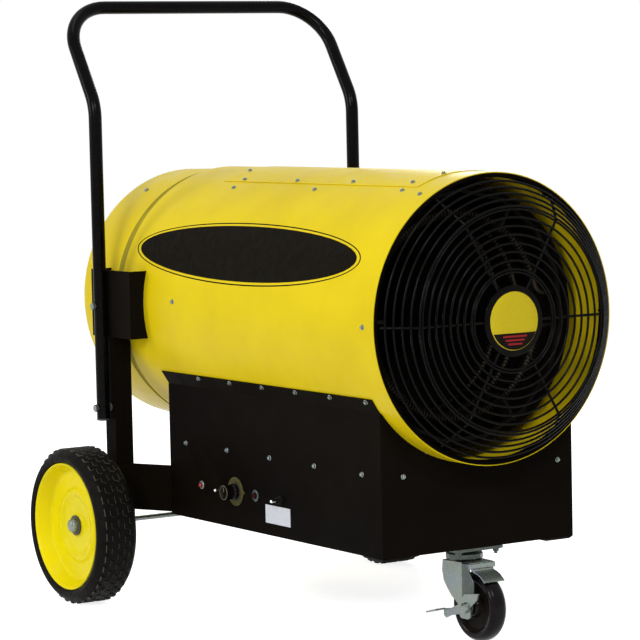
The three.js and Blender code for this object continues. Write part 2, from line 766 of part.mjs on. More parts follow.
// ---------------------------------------------------------------------------------------------------------
// Cabinet. Heights here are true heights above the floor, and the drum axis is at AXIS_Z.

const coping = (clearance) => drumEnvelope(clearance).translate(0, 0, AXIS_Z);
const panelRun = { front: -(CABINET_FRONT + PANEL + FIT), back: PANEL_BACK + PANEL + FIT };

// A side panel: upright sheet whose top edge is bent out to lie along the drum. Made for the far side.
function sidePanelSheet() {
  const lean = THREE.MathUtils.degToRad(FLANGE_DEG);
  const bendAt = (half, reach) => AXIS_Z + (half * Math.cos(lean) - reach) / Math.sin(lean);
  const edge = ([y, z]) => [y + FLANGE_WIDTH * Math.sin(lean), z + FLANGE_WIDTH * Math.cos(lean)];
  const outerBend = [CABINET_HALF, bendAt(CABINET_HALF, DRUM_R + FIT + PANEL)];
  const innerBend = [CABINET_HALF - PANEL, bendAt(CABINET_HALF - PANEL, DRUM_R + FIT)];
  return alongX([
    [CABINET_HALF - PANEL, CABINET_BOTTOM],
    [CABINET_HALF, CABINET_BOTTOM],
    outerBend,
    edge(outerBend),
    edge(innerBend),
    innerBend,
  ], panelRun.back, panelRun.front);
}

function cabinetSideFar() {
  return named('cabinet_side_far', sidePanelSheet(), BLACK);
}

function cabinetSideNear() {
  const holes = [
    [PILOT_X, SWITCH_R],
    [POWER_TOGGLE_X, SWITCH_R],
    [THERMOSTAT_X, SWITCH_R],
    [RESET_X, RESET_NECK_R],
    [FAN_TOGGLE_X, SWITCH_R],
  ].map(([x, radius]) => rod(radius + FIT, 8 * PANEL, 10).translate(-x, -CABINET_HALF, CONTROL_Z));
  const sheet = sidePanelSheet();
  sheet.scale(1, -1, 1);
  return named('cabinet_side_near', cut(facingOut(sheet), ...holes), BLACK);
}

// Turns every triangle of a mirrored geometry round, so that its faces point outwards again.
function facingOut(geometry) {
  const solid = welded(geometry);
  const index = solid.index.array;
  for (let i = 0; i < index.length; i += 3) [index[i + 1], index[i + 2]] = [index[i + 2], index[i + 1]];
  return solid;
}

// An end panel, its top edge hollowed to the drum.
function endPanel(front) {
  const lean = THREE.MathUtils.degToRad(FLANGE_DEG);
  const top = AXIS_Z + (CABINET_HALF * Math.cos(lean) - DRUM_R - FIT - PANEL) / Math.sin(lean);
  const sheet = block([front - PANEL, -CABINET_HALF, CABINET_BOTTOM], [front, CABINET_HALF, top]);
  return cut(sheet, coping(FIT));
}

function cabinetFront() {
  return named('cabinet_front', endPanel(-CABINET_FRONT), BLACK);
}

function cabinetRear() {
  const hole = rodX(GLAND_R * 0.7 + FIT, 8 * PANEL, 8).translate(PANEL_BACK, GLAND_Y, GLAND_Z);
  return named('cabinet_rear', cut(endPanel(PANEL_BACK + PANEL), hole), BLACK);
}

// Floor pan with turned-up sides, and a chamfered skid foot under each front corner.
function cabinetFloor() {
  const half = CABINET_HALF - PANEL - FIT;
  const pan = alongX([
    [-half, CABINET_BOTTOM],
    [half, CABINET_BOTTOM],
    [half, CABINET_BOTTOM + PAN_LIP],
    [half - PANEL, CABINET_BOTTOM + PAN_LIP],
    [half - PANEL, CABINET_BOTTOM + PANEL],
    [PANEL - half, CABINET_BOTTOM + PANEL],
    [PANEL - half, CABINET_BOTTOM + PAN_LIP],
    [-half, CABINET_BOTTOM + PAN_LIP],
  ], panelRun.back, panelRun.front);
  const feet = [-1, 1].map((side) => {
    const chamfer = FOOT_DEPTH - FIT;
    const foot = new THREE.ExtrudeGeometry(outlineShape([
      [chamfer, chamfer],
      [FOOT_LENGTH - chamfer, chamfer],
      [FOOT_LENGTH - chamfer, FOOT_WIDTH - chamfer],
      [chamfer, FOOT_WIDTH - chamfer],
    ]), { depth: 0.01, bevelThickness: chamfer, bevelSize: chamfer, bevelSegments: 1 });
    foot.translate(-CABINET_FRONT - FOOT_LENGTH, side > 0 ? CABINET_HALF - FOOT_WIDTH : -CABINET_HALF,
      CABINET_BOTTOM - FIT);
    const under = block([-DRUM_LENGTH, -DRUM_R, CABINET_BOTTOM - FIT], [0, DRUM_R, CABINET_BOTTOM + DRUM_R]);
    const boss = block(
      [-CABINET_FRONT - FOOT_LENGTH + 8, side * (CABINET_HALF - FOOT_WIDTH + 8), CABINET_BOTTOM - 2],
      [-CABINET_FRONT - 8, side * (CABINET_HALF - 8), CABINET_BOTTOM + 1],
    );
    return join(cut(foot, under), boss);
  });
  return named('cabinet_floor', join(pan, ...feet), BLACK);
}

function wiringBaffle() {
  const half = CABINET_HALF - PANEL - FIT;
  return named('wiring_baffle', alongX([
    [-half, BAFFLE_Z - BAFFLE_LIP],
    [PANEL - half, BAFFLE_Z - BAFFLE_LIP],
    [PANEL - half, BAFFLE_Z - PANEL / 2],
    [half - PANEL, BAFFLE_Z - PANEL / 2],
    [half - PANEL, BAFFLE_Z - BAFFLE_LIP],
    [half, BAFFLE_Z - BAFFLE_LIP],
    [half, BAFFLE_Z + PANEL / 2],
    [-half, BAFFLE_Z + PANEL / 2],
  ], panelRun.back + FIT, panelRun.front - FIT), ZINC);
}

const panTop = CABINET_BOTTOM + PANEL + FIT;

// A power contactor: mounting foot, body, and a raised row of terminals on each side of the coil cap.
function contactor() {
  const body = [
    block([-45, -38, 0], [45, 38, 8]),
    block([-38, -34, 7], [38, 34, 58]),
    block([-38, -16, 57], [38, 16, 76]),
  ];
  for (const x of [-24, 0, 24]) {
    body.push(block([x - 9, -30, 57], [x + 9, -22, 64]), block([x - 9, 22, 57], [x + 9, 30, 64]));
  }
  return named('contactor', join(...body).translate(-CONTACTOR_X, CONTACTOR_Y, panTop), MOULDED);
}

// Strain gland on the rear panel, with its nut and its locknut inside.
function cableGland() {
  const bore = GLAND_R * 0.45;
  const neck = GLAND_R * 0.7;
  return named('cable_gland', turnedX([
    [bore, -28],
    [neck, -28],
    [GLAND_R * 0.85, -24],
    [GLAND_R * 0.85, -13],
    [GLAND_R, -13],
    [GLAND_R, -FIT],
    [neck, -FIT],
    [neck, PANEL + FIT],
    [GLAND_R * 0.93, PANEL + FIT],
    [GLAND_R * 0.93, 8],
    [neck, 8],
    [neck, 13],
    [bore, 13],
  ], 8).translate(PANEL_BACK, GLAND_Y, GLAND_Z), MOULDED);
}

// ---------------------------------------------------------------------------------------------------------
// Controls, made with their height along +Y and the panel's face at 0; the panel itself lies below 0

const behind = -(PANEL + FIT);

function pilotBezel() {
  const bore = LENS_R + FIT;
  return named('pilot_bezel', turned([
    [bore, -12],
    [SWITCH_R, -12],
    [SWITCH_R, FIT],
    [PILOT_R, FIT],
    [PILOT_R, 2.5],
    [PILOT_R - 1, 3.5],
    [bore, 3.5],
  ], 10), CHROME);
}

function pilotLens() {
  return named('pilot_lens', turned([
    [0, -11],
    [LENS_R, -11],
    [LENS_R, 4.5],
    [LENS_R * 0.75, 7],
    [0, 8.2],
  ], 10), RED_LENS);
}

function toggleSwitch(name) {
  const sleeveTop = 8;
  const neck = turned([
    [TOGGLE_BORE, behind - 1],
    [SWITCH_R, behind - 1],
    [SWITCH_R, sleeveTop],
    [TOGGLE_BORE, sleeveTop],
  ], 10);
  const nut = turned([[SWITCH_R - 1, FIT], [SWITCH_R + 2.6, FIT], [SWITCH_R + 2.6, 3], [SWITCH_R - 1, 3]], 6);
  const body = block([-11, behind - 24, -8], [11, behind, 8]);
  return named(name, join(neck, nut, body), ZINC);
}

function toggleLever(name) {
  return named(name, turned([
    [0, -0.2],
    [2.4, 0.6],
    [TOGGLE_BALL_R, TOGGLE_PIVOT],
    [2.2, 5.6],
    [1.9, 9],
    [3, 20],
    [2, 22.5],
    [0, 23.2],
  ], 8), CHROME);
}

function thermostatDial() {
  const bore = KNOB_SHAFT_R + BORE_GAP;
  const neck = turned([
    [0, -KNOB_SHAFT_DEPTH - 2],
    [SWITCH_R, -KNOB_SHAFT_DEPTH - 2],
    [SWITCH_R, FIT + 0.2],
    [DIAL_R, FIT + 0.2],
    [DIAL_R, FIT + 1.4],
    [bore, FIT + 1.4],
    [bore, -KNOB_SHAFT_DEPTH - 1],
    [0, -KNOB_SHAFT_DEPTH - 1],
  ], 14);
  const body = cut(block([-22, -30, -20], [22, behind, 20]), rod(SWITCH_R - 1, 4 * DIAL_R, 8));
  return named('thermostat_dial', join(neck, body), OLIVE);
}

function thermostatKnob() {
  const foot = FIT + 3;
  const top = foot + KNOB_HEIGHT;
  const body = turned([
    [0, -KNOB_SHAFT_DEPTH],
    [KNOB_SHAFT_R, -KNOB_SHAFT_DEPTH],
    [KNOB_SHAFT_R, foot],
    [KNOB_R, foot],
    [KNOB_R, foot + 5],
    [KNOB_R * 0.84, foot + 8],
    [KNOB_R * 0.8, top - 2],
    [KNOB_R * 0.7, top],
    [0, top],
  ], 14);
  const pointer = block([-1.2, foot + 6, 0], [1.2, top + 0.8, KNOB_R * 0.8]);
  return named('thermostat_knob', join(body, pointer), BAKELITE);
}

function resetBezel() {
  const bore = RESET_BUTTON_R + BORE_GAP;
  return named('reset_bezel', turned([
    [0, -16],
    [RESET_NECK_R + 1.5, -16],
    [RESET_NECK_R + 1.5, behind],
    [RESET_NECK_R, behind],
    [RESET_NECK_R, FIT],
    [RESET_R, FIT],
    [RESET_R, 3],
    [RESET_R - 1.5, 4],
    [bore, 4],
    [bore, -9 - RESET_TRAVEL],
    [0, -9 - RESET_TRAVEL],
  ], 10), CHROME);
}

function resetButton() {
  return named('reset_button', turned([
    [0, -8],
    [RESET_BUTTON_R, -8],
    [RESET_BUTTON_R, 5 + RESET_TRAVEL / 2],
    [RESET_BUTTON_R - 1, 6 + RESET_TRAVEL / 2],
    [0, 6 + RESET_TRAVEL / 2],
  ], 12), BAKELITE);
}

// ---------------------------------------------------------------------------------------------------------
// Frame: legs, saddles, arms, handle. One side is made for +Y; its group mirrors it for the other.

const saddleOuter = LEG_OUTER + FIT + PLATE;

function legChannel(name) {
  const [front, back] = [-LEG_X + LEG_SIZE / 2, -LEG_X - LEG_SIZE / 2];
  const inner = LEG_OUTER - LEG_SIZE;
  const channel = upright([
    [back, inner],
    [back + PLATE, inner],
    [back + PLATE, LEG_OUTER - PLATE],
    [front - PLATE, LEG_OUTER - PLATE],
    [front - PLATE, inner],
    [front, inner],
    [front, LEG_OUTER],
    [back, LEG_OUTER],
  ], AXLE_Z - LEG_BELOW_AXLE, AXIS_Z + LEG_ABOVE_AXIS);
  const axleHole = rod(AXLE_R + FIT, 4 * LEG_SIZE, 8).translate(-AXLE_X, LEG_OUTER, AXLE_Z);
  return named(name, cut(channel, coping(FIT), axleHole, boltHole(UPPER_BOLT_Z), boltHole(LOWER_BOLT_Z)), BLACK);
}

function boltHole(z) {
  return rod(BOLT_R + FIT, 4 * LEG_SIZE, 8).translate(-LEG_X, LEG_OUTER, z);
}

// The bracket that ties the drum to the leg: a channel whose two webs are cut to the drum.
function saddle(name) {
  const [front, back] = [-SADDLE_X + SADDLE_LENGTH / 2, -SADDLE_X - SADDLE_LENGTH / 2];
  const inner = saddleOuter - SADDLE_REACH;
  const channel = upright([
    [back, inner],
    [back + PLATE, inner],
    [back + PLATE, saddleOuter - PLATE],
    [front - PLATE, saddleOuter - PLATE],
    [front - PLATE, inner],
    [front, inner],
    [front, saddleOuter],
    [back, saddleOuter],
  ], AXIS_Z - SADDLE_HEIGHT / 2, AXIS_Z + SADDLE_HEIGHT / 2);
  return named(name, cut(channel, coping(FIT), boltHole(UPPER_BOLT_Z)), BLACK);
}

// A bent strap from the leg's front face to the cabinet's rear corner.
function cabinetArm(name) {
  const legFace = -LEG_X + LEG_SIZE / 2 + FIT + PLATE / 2;
  const cabinetFace = PANEL_BACK - FIT - PLATE / 2;
  const bottom = CABINET_BOTTOM + ARM_ABOVE_BOTTOM;
  return named(name, upright(stripOutline([
    [legFace, LEG_OUTER],
    [legFace, LEG_OUTER - LEG_SIZE],
    [cabinetFace, CABINET_HALF - PLATE],
    [cabinetFace, CABINET_HALF - PLATE - ARM_TAB],
  ], PLATE), bottom, bottom + ARM_HEIGHT), BLACK);
}

// A cap bolt through handle, spacer or saddle, and leg, with its nut inside the leg.
function handleBolt(name, z, seat) {
  const headFrom = HANDLE_Y + HANDLE_R + FIT;
  const nutTo = LEG_OUTER - PLATE - FIT;
  const nutFrom = nutTo - BOLT_HEAD;
  const shankFrom = nutFrom - 2;
  const shank = rod(BOLT_R, headFrom - shankFrom + 1, 8).translate(0, (headFrom + 1 + shankFrom) / 2, 0);
  const head = rod(BOLT_HEAD_R, BOLT_HEAD, 6).translate(0, headFrom + BOLT_HEAD / 2, 0);
  const nut = rod(BOLT_HEAD_R, BOLT_HEAD, 6).translate(0, (nutTo + nutFrom) / 2, 0);
  const parts = [shank, head, nut];
  if (seat === 'spacer') {
    const from = LEG_OUTER + FIT;
    const to = HANDLE_Y - HANDLE_R - FIT;
    parts.push(rod(BOLT_HEAD_R + 2, to - from, 8).translate(0, (from + to) / 2, 0));
  }
  return named(name, join(...parts).translate(-LEG_X, 0, z), ZINC);
}

function pushHandle() {
  const corners = [
    [-LEG_X, -HANDLE_Y, HANDLE_BOTTOM],
    [-LEG_X, -HANDLE_Y, HANDLE_BEND_Z],
    [HANDLE_TOP_X, -HANDLE_Y, HANDLE_TOP_Z],
    [HANDLE_TOP_X, HANDLE_Y, HANDLE_TOP_Z],
    [-LEG_X, HANDLE_Y, HANDLE_BEND_Z],
    [-LEG_X, HANDLE_Y, HANDLE_BOTTOM],
  ];
  const path = bentPath(corners, [HANDLE_BEND_R, HANDLE_CORNER_R, HANDLE_CORNER_R, HANDLE_BEND_R], 3);
  const tube = bentTube(path, HANDLE_R, HANDLE_FACETS);
  const holes = [UPPER_BOLT_Z, LOWER_BOLT_Z].map((z) =>
    rod(BOLT_R + FIT, 4 * HANDLE_Y, 8).translate(-LEG_X, 0, z));
  return named('push_handle', cut(tube, ...holes), WIRE);
}

// ---------------------------------------------------------------------------------------------------------
// Rear axle and wheels, turned around Y; the wheel is made with its outer side towards +Y

const wheelMiddle = TYRE_OUTER - TYRE_WIDTH / 2;
const hubFace = TYRE_WIDTH / 2 - HUB_FACE;
const hubInner = -(TYRE_WIDTH / 2 + 1);

function rearAxle() {
  const end = wheelMiddle + hubFace + CAP_NUT_HEIGHT / 2;
  const collarFrom = LEG_OUTER + FIT;
  const collarTo = wheelMiddle + hubInner - FIT;
  const half = [
    [AXLE_R, collarFrom],
    [1.8 * AXLE_R, collarFrom],
    [1.8 * AXLE_R, collarTo],
    [AXLE_R, collarTo],
    [AXLE_R, end],
    [0, end],
  ];
  const outline = [...half.map(([r, y]) => [r, -y]).reverse(), ...half];
  return named('rear_axle', turned(outline, 8).translate(-AXLE_X, 0, AXLE_Z), ZINC);
}

function wheelRim(name) {
  const edge = TYRE_WIDTH / 2 - 4;
  const web = hubFace - 4;
  return named(name, turned([
    [AXLE_R + BORE_GAP, hubInner],
    [HUB_TUBE_R, hubInner],
    [HUB_TUBE_R, web - RIM_WALL],
    [RIM_R - RIM_WALL, web - RIM_WALL],
    [RIM_R - RIM_WALL, -edge],
    [RIM_R, -edge],
    [RIM_R, edge],
    [RIM_R - RIM_WALL, edge],
    [RIM_R - 18, web],
    [RIM_R * 0.57, web],
    [RIM_R * 0.5, web + 5],
    [RIM_R * 0.42, web],
    [HUB_TUBE_R, hubFace],
    [AXLE_R + BORE_GAP, hubFace],
  ], TYRE_FACETS).rotateY(Math.PI / TYRE_FACETS), RIM_YELLOW);
}

function tyre(name) {
  const side = TYRE_WIDTH / 2;
  const half = [
    [WHEEL_R, side - 12],
    [WHEEL_R - 5, side - 3],
    [WHEEL_R - 17, side],
    [RIM_R + FIT, side - 4.5],
  ];
  const outline = [...half.map(([r, y]) => [r, -y]).reverse(), ...half];
  return named(name, turned(outline, TYRE_FACETS).rotateY(Math.PI / TYRE_FACETS), RUBBER);
}

function capNut(name) {
  const bore = AXLE_R + FIT;
  const deep = CAP_NUT_HEIGHT / 2 + 1;
  return named(name, turned([
    [bore, 0],
    [CAP_NUT_R + 4, 0],
    [CAP_NUT_R + 4, 2],
    [CAP_NUT_R, 2],
    [CAP_NUT_R, CAP_NUT_HEIGHT / 2],
    [CAP_NUT_R * 0.65, CAP_NUT_HEIGHT * 0.85],
    [0, CAP_NUT_HEIGHT],
    [0, deep],
    [bore, deep],
  ], 10).translate(0, hubFace + FIT, 0), CHROME);
}

// ---------------------------------------------------------------------------------------------------------
// Front caster, made around its swivel axis; the wheel trails towards +X

const plateTop = CABINET_BOTTOM - FIT;
const plateBottom = plateTop - CASTER_PLATE;
const forkTop = plateBottom - RACEWAY - FIT;
const forkOuter = FORK_INNER + FORK_WALL;
const shoePivotZ = forkTop - FORK_WALL - SHOE_PIN_R;

// Top plate with its raceway and the kingpin that carries the fork.
function casterPlate() {
  const pinHead = forkTop - FORK_WALL - FIT;
  const plate = box(CASTER_PLATE_LENGTH, CASTER_PLATE_WIDTH, CASTER_PLATE)
    .translate(0, 0, (plateTop + plateBottom) / 2);
  const swivel = turnedZ([
    [0, pinHead - 4],
    [11, pinHead - 4],
    [11, pinHead],
    [CASTER_AXLE_R, pinHead],
    [CASTER_AXLE_R, plateBottom - RACEWAY],
    [RACEWAY_R - 3, plateBottom - RACEWAY],
    [RACEWAY_R, plateBottom - RACEWAY + 3],
    [RACEWAY_R, plateBottom - RACEWAY * 0.45],
    [RACEWAY_R - 8, plateBottom + 1],
    [0, plateBottom + 1],
  ], 16);
  return named('caster_plate', join(plate, swivel), ZINC);
}

// A pressed fork: crown and two legs, flat round the axle and flared behind the crease, each with an ear in
// front for the brake's hinge pin.
function casterFork() {
  const side = new THREE.Shape();
  side.moveTo(FORK_BACK + 6, forkTop);
  side.lineTo(FORK_FRONT, forkTop);
  side.lineTo(FORK_FRONT, shoePivotZ - 9);
  side.lineTo(CASTER_TRAIL + 16, CASTER_AXLE_Z + 30);
  side.lineTo(CASTER_TRAIL + 15, CASTER_AXLE_Z);
  side.absarc(CASTER_TRAIL, CASTER_AXLE_Z, 15, 0, -Math.PI * 0.72, true);
  side.lineTo(-4, CASTER_AXLE_Z + 20);
  side.quadraticCurveTo(FORK_BACK, CASTER_AXLE_Z + 38, FORK_BACK, forkTop - 16);
  side.quadraticCurveTo(FORK_BACK, forkTop - 3, FORK_BACK + 6, forkTop);
  const flat = FORK_INNER + FORK_WALL / 2;
  const plan = stripOutline([[FORK_BACK - 5, flat + FORK_FLARE], [FORK_CREASE, flat], [FORK_FRONT + 9, flat]],
    FORK_WALL);
  const profile = alongY(side, -2 * forkOuter, 2 * forkOuter);
  const leg = common(upright(plan, 0, forkTop), profile);
  const corner = FORK_BACK * 0.8;
  const flared = forkOuter + FORK_FLARE;
  const half = [
    [FORK_FRONT - 14, forkOuter - 1],
    [FORK_CREASE, forkOuter - 1],
    [corner, flared - 1],
    [FORK_BACK, 14],
  ];
  const crown = upright([...half, ...half.map(([x, y]) => [x, -y]).reverse()], forkTop - FORK_WALL, forkTop);
  const mirrored = leg.clone().scale(1, -1, 1);
  const holes = [
    rodZ(CASTER_AXLE_R + BORE_GAP, 4 * FORK_WALL, 12).translate(0, 0, forkTop),
    rod(CASTER_AXLE_R + FIT, 4 * forkOuter, 12).translate(CASTER_TRAIL, 0, CASTER_AXLE_Z),
    rod(SHOE_PIN_R + BORE_GAP, 4 * forkOuter, 10).translate(SHOE_PIVOT_X, 0, shoePivotZ),
  ];
  return named('caster_fork', cut(join(crown, leg, facingOut(mirrored)), ...holes), ZINC);
}

const leverInner = forkOuter + FIT;
const leverOuter = leverInner + LEVER;

// Axle bolt: domed head outside the brake lever on the near side, nut on the far side.
function casterAxle() {
  const head = leverOuter + FIT;
  const nut = forkOuter + FIT;
  const bolt = turned([
    [0, -nut - 9],
    [CASTER_AXLE_R, -nut - 9],
    [CASTER_AXLE_R, head],
    [CASTER_AXLE_R + 4, head],
    [CASTER_AXLE_R + 3, head + 5],
    [CASTER_AXLE_R - 2, head + 8],
    [0, head + 9],
  ], 10).scale(1, -1, 1);
  const locknut = rod(CASTER_AXLE_R + 4, 6, 6).translate(0, nut + 3, 0);
  return named('caster_axle', join(facingOut(bolt), locknut).translate(CASTER_TRAIL, 0, CASTER_AXLE_Z), ZINC);
}

function casterWheel() {
  const side = CASTER_WIDTH / 2;
  const half = [
    [CASTER_R, side - 8],
    [CASTER_R - 5, side],
    [CASTER_R - 14, side - 4],
    [22, side - 4],
    [16, FORK_INNER - 1],
    [CASTER_AXLE_R + BORE_GAP, FORK_INNER - 1],
  ];
  const outline = [...half.map(([r, y]) => [r, -y]).reverse(), ...half];
  return named('caster_wheel', turned(outline, CASTER_FACETS).rotateY(Math.PI / CASTER_FACETS), BAKELITE);
}

// Foot lever: a plate on the axle bolt with an upper lobe, a heel and a long arm that ends in a pedal bent
// outwards.
function brakeLever() {
  const arm = LEVER_REACH - PEDAL_LENGTH;
  const shape = outlineShape([
    [-LEVER_HEEL, 4],
    [-arm * 0.65, -6],
    [-arm, -LEVER_HEEL / 2],
    [-arm, -LEVER_HEEL * 1.1],
    [-arm * 0.9, -LEVER_HEEL * 1.3],
    [-arm * 0.7, -LEVER_HEEL],
    [-LEVER_HEEL, -LEVER_HEEL * 0.7],
    [-LEVER_HEEL * 0.7, -LEVER_HEEL],
    [LEVER_HEEL * 0.3, -LEVER_HEEL],
    [LEVER_HEEL * 0.7, -LEVER_HEEL * 0.8],
    [LEVER_HEEL * 0.7, 2],
    [LEVER_LOBE * 0.9, LEVER_LOBE * 0.47],
    [LEVER_LOBE, LEVER_LOBE * 0.78],
    [LEVER_LOBE * 0.4, LEVER_LOBE * 0.7],
    [-LEVER_HEEL * 0.2, LEVER_LOBE * 0.62],
  ]);
  const plate = alongY(shape, -leverOuter, -leverInner);
  const pedal = outlineShape([[0, 0], [PEDAL_LENGTH, 8], [PEDAL_LENGTH, 8 + LEVER], [0, LEVER]]);
  const tread = alongY(pedal, -leverOuter - PEDAL_WIDTH, -leverInner).translate(-LEVER_REACH, 0, -LEVER_HEEL);
  const hole = rod(CASTER_AXLE_R + BORE_GAP, 4 * leverOuter, 10);
  return named('brake_lever', cut(join(plate, tread), hole), ZINC);
}

// Brake shoe: a bent plate hinged between the fork's front ears, its pad lying along the tread.
function brakeShoe() {
  const lean = THREE.MathUtils.degToRad(SHOE_DEG);
  const reach = CASTER_R + SHOE_GAP;
  const onTread = (along, out) => [
    CASTER_TRAIL + (reach + out) * Math.cos(lean) + along * Math.sin(lean),
    CASTER_AXLE_Z + (reach + out) * Math.sin(lean) - along * Math.cos(lean),
  ];
  const pad = SHOE_PAD / 2;
  const outline = outlineShape([
    onTread(pad, 0),
    onTread(pad, SHOE_THICKNESS),
    onTread(-pad * 0.7, SHOE_THICKNESS),
    [SHOE_PIVOT_X + SHOE_PIN_R + 2, shoePivotZ],
    [SHOE_PIVOT_X, shoePivotZ - SHOE_PIN_R - 1.5],
    onTread(-pad, 0),
  ]);
  const plate = alongY(outline, -SHOE_HALF, SHOE_HALF);
  const barrel = rod(SHOE_PIN_R + 2, 2 * SHOE_HALF, 10).translate(SHOE_PIVOT_X, 0, shoePivotZ);
  const pin = rod(SHOE_PIN_R, 2 * forkOuter, 10).translate(SHOE_PIVOT_X, 0, shoePivotZ);
  return named('brake_shoe', join(plate, barrel, pin), ZINC);
}

// ---------------------------------------------------------------------------------------------------------
// Assembly

function at(x, y, z, ...meshes) {
  const group = new THREE.Group();
  group.position.set(x, y, z);
  group.add(...meshes);
  return group;
}

// A control on the near panel: its own +Y becomes the outward -Y.
function onPanel(x, ...meshes) {
  const group = at(-x, -CABINET_HALF, CONTROL_Z, ...meshes);
  group.rotation.z = Math.PI;
  return group;
}

const drum = at(0, 0, AXIS_Z,
  drumJacket(), rearSection(), outletRing(), inletRing(), innerLiner(), fanOrifice(), topAccessCover(),
  outletGuard(), hubBadge(), inletGuard(), elementRack(),
  ...Array.from({ length: ELEMENTS }, (_, i) => heatingElement(i)),
  fanRotor(), fanShaft(), motorHousing(), motorMount());

const cabinet = at(0, 0, 0,
  cabinetSideNear(), cabinetSideFar(), cabinetFront(), cabinetRear(), cabinetFloor(), wiringBaffle(),
  contactor(), cableGland(),
  onPanel(PILOT_X, pilotBezel(), pilotLens()),
  onPanel(POWER_TOGGLE_X, toggleSwitch('power_switch'), toggleLever('power_toggle')),
  onPanel(THERMOSTAT_X, thermostatDial(), thermostatKnob()),
  onPanel(RESET_X, resetBezel(), resetButton()),
  onPanel(FAN_TOGGLE_X, toggleSwitch('fan_switch'), toggleLever('fan_toggle')));

// One side of the frame with its wheel; the near side is the far side mirrored.
function frameSide(side) {
  const wheel = at(-AXLE_X, wheelMiddle, AXLE_Z, wheelRim(`wheel_rim_${side}`), tyre(`tyre_${side}`),
    capNut(`cap_nut_${side}`));
  const group = at(0, 0, 0, legChannel(`leg_${side}`), saddle(`saddle_${side}`), cabinetArm(`cabinet_arm_${side}`),
    handleBolt(`upper_bolt_${side}`, UPPER_BOLT_Z), handleBolt(`lower_bolt_${side}`, LOWER_BOLT_Z, 'spacer'), wheel);
  if (side === 'near') group.scale.y = -1;
  return group;
}

const caster = at(-CASTER_X, 0, 0,
  casterPlate(), casterFork(), casterAxle(), brakeShoe(),
  at(CASTER_TRAIL, 0, CASTER_AXLE_Z, casterWheel(), brakeLever()));

const machine = at(0, 0, 0, drum, cabinet, frameSide('near'), frameSide('far'), pushHandle(), rearAxle(), caster);
const heater = new THREE.Group();
heater.add(machine);
heater.updateMatrixWorld(true);
machine.position.x = -new THREE.Box3().setFromObject(machine).getCenter(new THREE.Vector3()).x;

export default heater;
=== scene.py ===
"""The looks of a wheeled electric forced air heater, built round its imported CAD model.

Metres, +Z up, +X towards the warm air outlet, the control panel towards -Y (the near side).
"""
import math
from math import cos, pi, radians, sin

import bmesh
import bpy
from mathutils import Matrix, Vector


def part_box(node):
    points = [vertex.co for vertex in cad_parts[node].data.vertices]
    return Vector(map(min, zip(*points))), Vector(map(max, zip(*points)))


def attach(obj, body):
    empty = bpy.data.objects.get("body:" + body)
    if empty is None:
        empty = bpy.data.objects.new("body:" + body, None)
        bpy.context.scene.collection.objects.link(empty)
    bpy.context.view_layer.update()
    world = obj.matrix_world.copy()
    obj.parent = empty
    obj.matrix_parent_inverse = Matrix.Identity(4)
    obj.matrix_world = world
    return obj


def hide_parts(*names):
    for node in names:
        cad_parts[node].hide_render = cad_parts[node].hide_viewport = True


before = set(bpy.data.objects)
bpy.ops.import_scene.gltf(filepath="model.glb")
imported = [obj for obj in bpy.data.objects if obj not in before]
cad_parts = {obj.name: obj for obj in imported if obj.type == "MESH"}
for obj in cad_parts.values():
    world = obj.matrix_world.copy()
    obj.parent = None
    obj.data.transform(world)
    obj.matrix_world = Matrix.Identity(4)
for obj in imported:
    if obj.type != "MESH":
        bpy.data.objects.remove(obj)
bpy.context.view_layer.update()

# ---------------------------------------------------------------------------------------------------------
# Sizes, in metres: a number times MM is one in millimetres, and the others come from the frame

MM = 0.001


def low(node):
    return Vector(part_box(node)[0])


def high(node):
    return Vector(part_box(node)[1])


def middle(node):
    return (low(node) + high(node)) / 2


FRONT = high("drum_jacket").x  # the drum's front edge
AXIS_Z = middle("drum_jacket").z
DRUM_R = (high("drum_jacket").z - low("drum_jacket").z) / 2
SHEET = 1.5 * MM
FIT = 0.3 * MM
JACKET_BACK = low("drum_jacket").x
DRUM_BACK = low("rear_section").x
NEAR_PANEL = -208.5 * MM  # the control panel's outer face
CABINET_FRONT = high("cabinet_front").x
CASTER_CENTRE = middle("caster_wheel")
SWIVEL = Vector((middle("caster_plate").x, 0, 0))

ROUND = 160  # facets of the drum's round pieces


def behind(distance):
    """The X that lies so many millimetres behind the drum's front edge."""
    return FRONT - distance * MM


# ---------------------------------------------------------------------------------------------------------
# Materials

def linear(code):
    """A linear RGBA colour from a sRGB hex code."""
    channels = [int(code[i:i + 2], 16) / 255 for i in (1, 3, 5)]
    return [c / 12.92 if c <= 0.04045 else ((c + 0.055) / 1.055) ** 2.4 for c in channels] + [1.0]


def per_metre(size):
    """The texture scale of a pattern whose features are so many millimetres wide."""
    return 1 / (size * MM)


def put(tree, socket, value):
    """Gives an input its value, or a link from another node."""
    if isinstance(value, bpy.types.NodeSocket):
        tree.links.new(value, socket)
    else:
        socket.default_value = value


def add(tree, kind, inputs=None, **settings):
    """Adds one shader node, with its settings and with a value or a link for each of its inputs."""
    node = tree.nodes.new("ShaderNode" + kind)
    for name, value in settings.items():
        setattr(node, name, value)
    for key, value in (inputs or {}).items():
        put(tree, node.inputs[key], value)
    return node


FACTOR, COLOUR_A, COLOUR_B = 0, 6, 7  # the inputs of a colour Mix node
MIXED = 2  # and its output


def start_material(name):
    """A new material with its node tree, its surface shader and the object's own coordinates."""
    material = bpy.data.materials.new(name)
    material.use_nodes = True
    tree = material.node_tree
    surface = tree.nodes["Principled BSDF"]
    place = add(tree, "TexCoord").outputs["Object"]
    return material, tree, surface, place


def noise(tree, place, size, detail=3.0, roughness=0.5):
    """Cloudy noise with features of that many millimetres, from 0 to 1."""
    inputs = {"Vector": place, "Scale": per_metre(size), "Detail": detail, "Roughness": roughness}
    return add(tree, "TexNoise", inputs).outputs["Fac"]


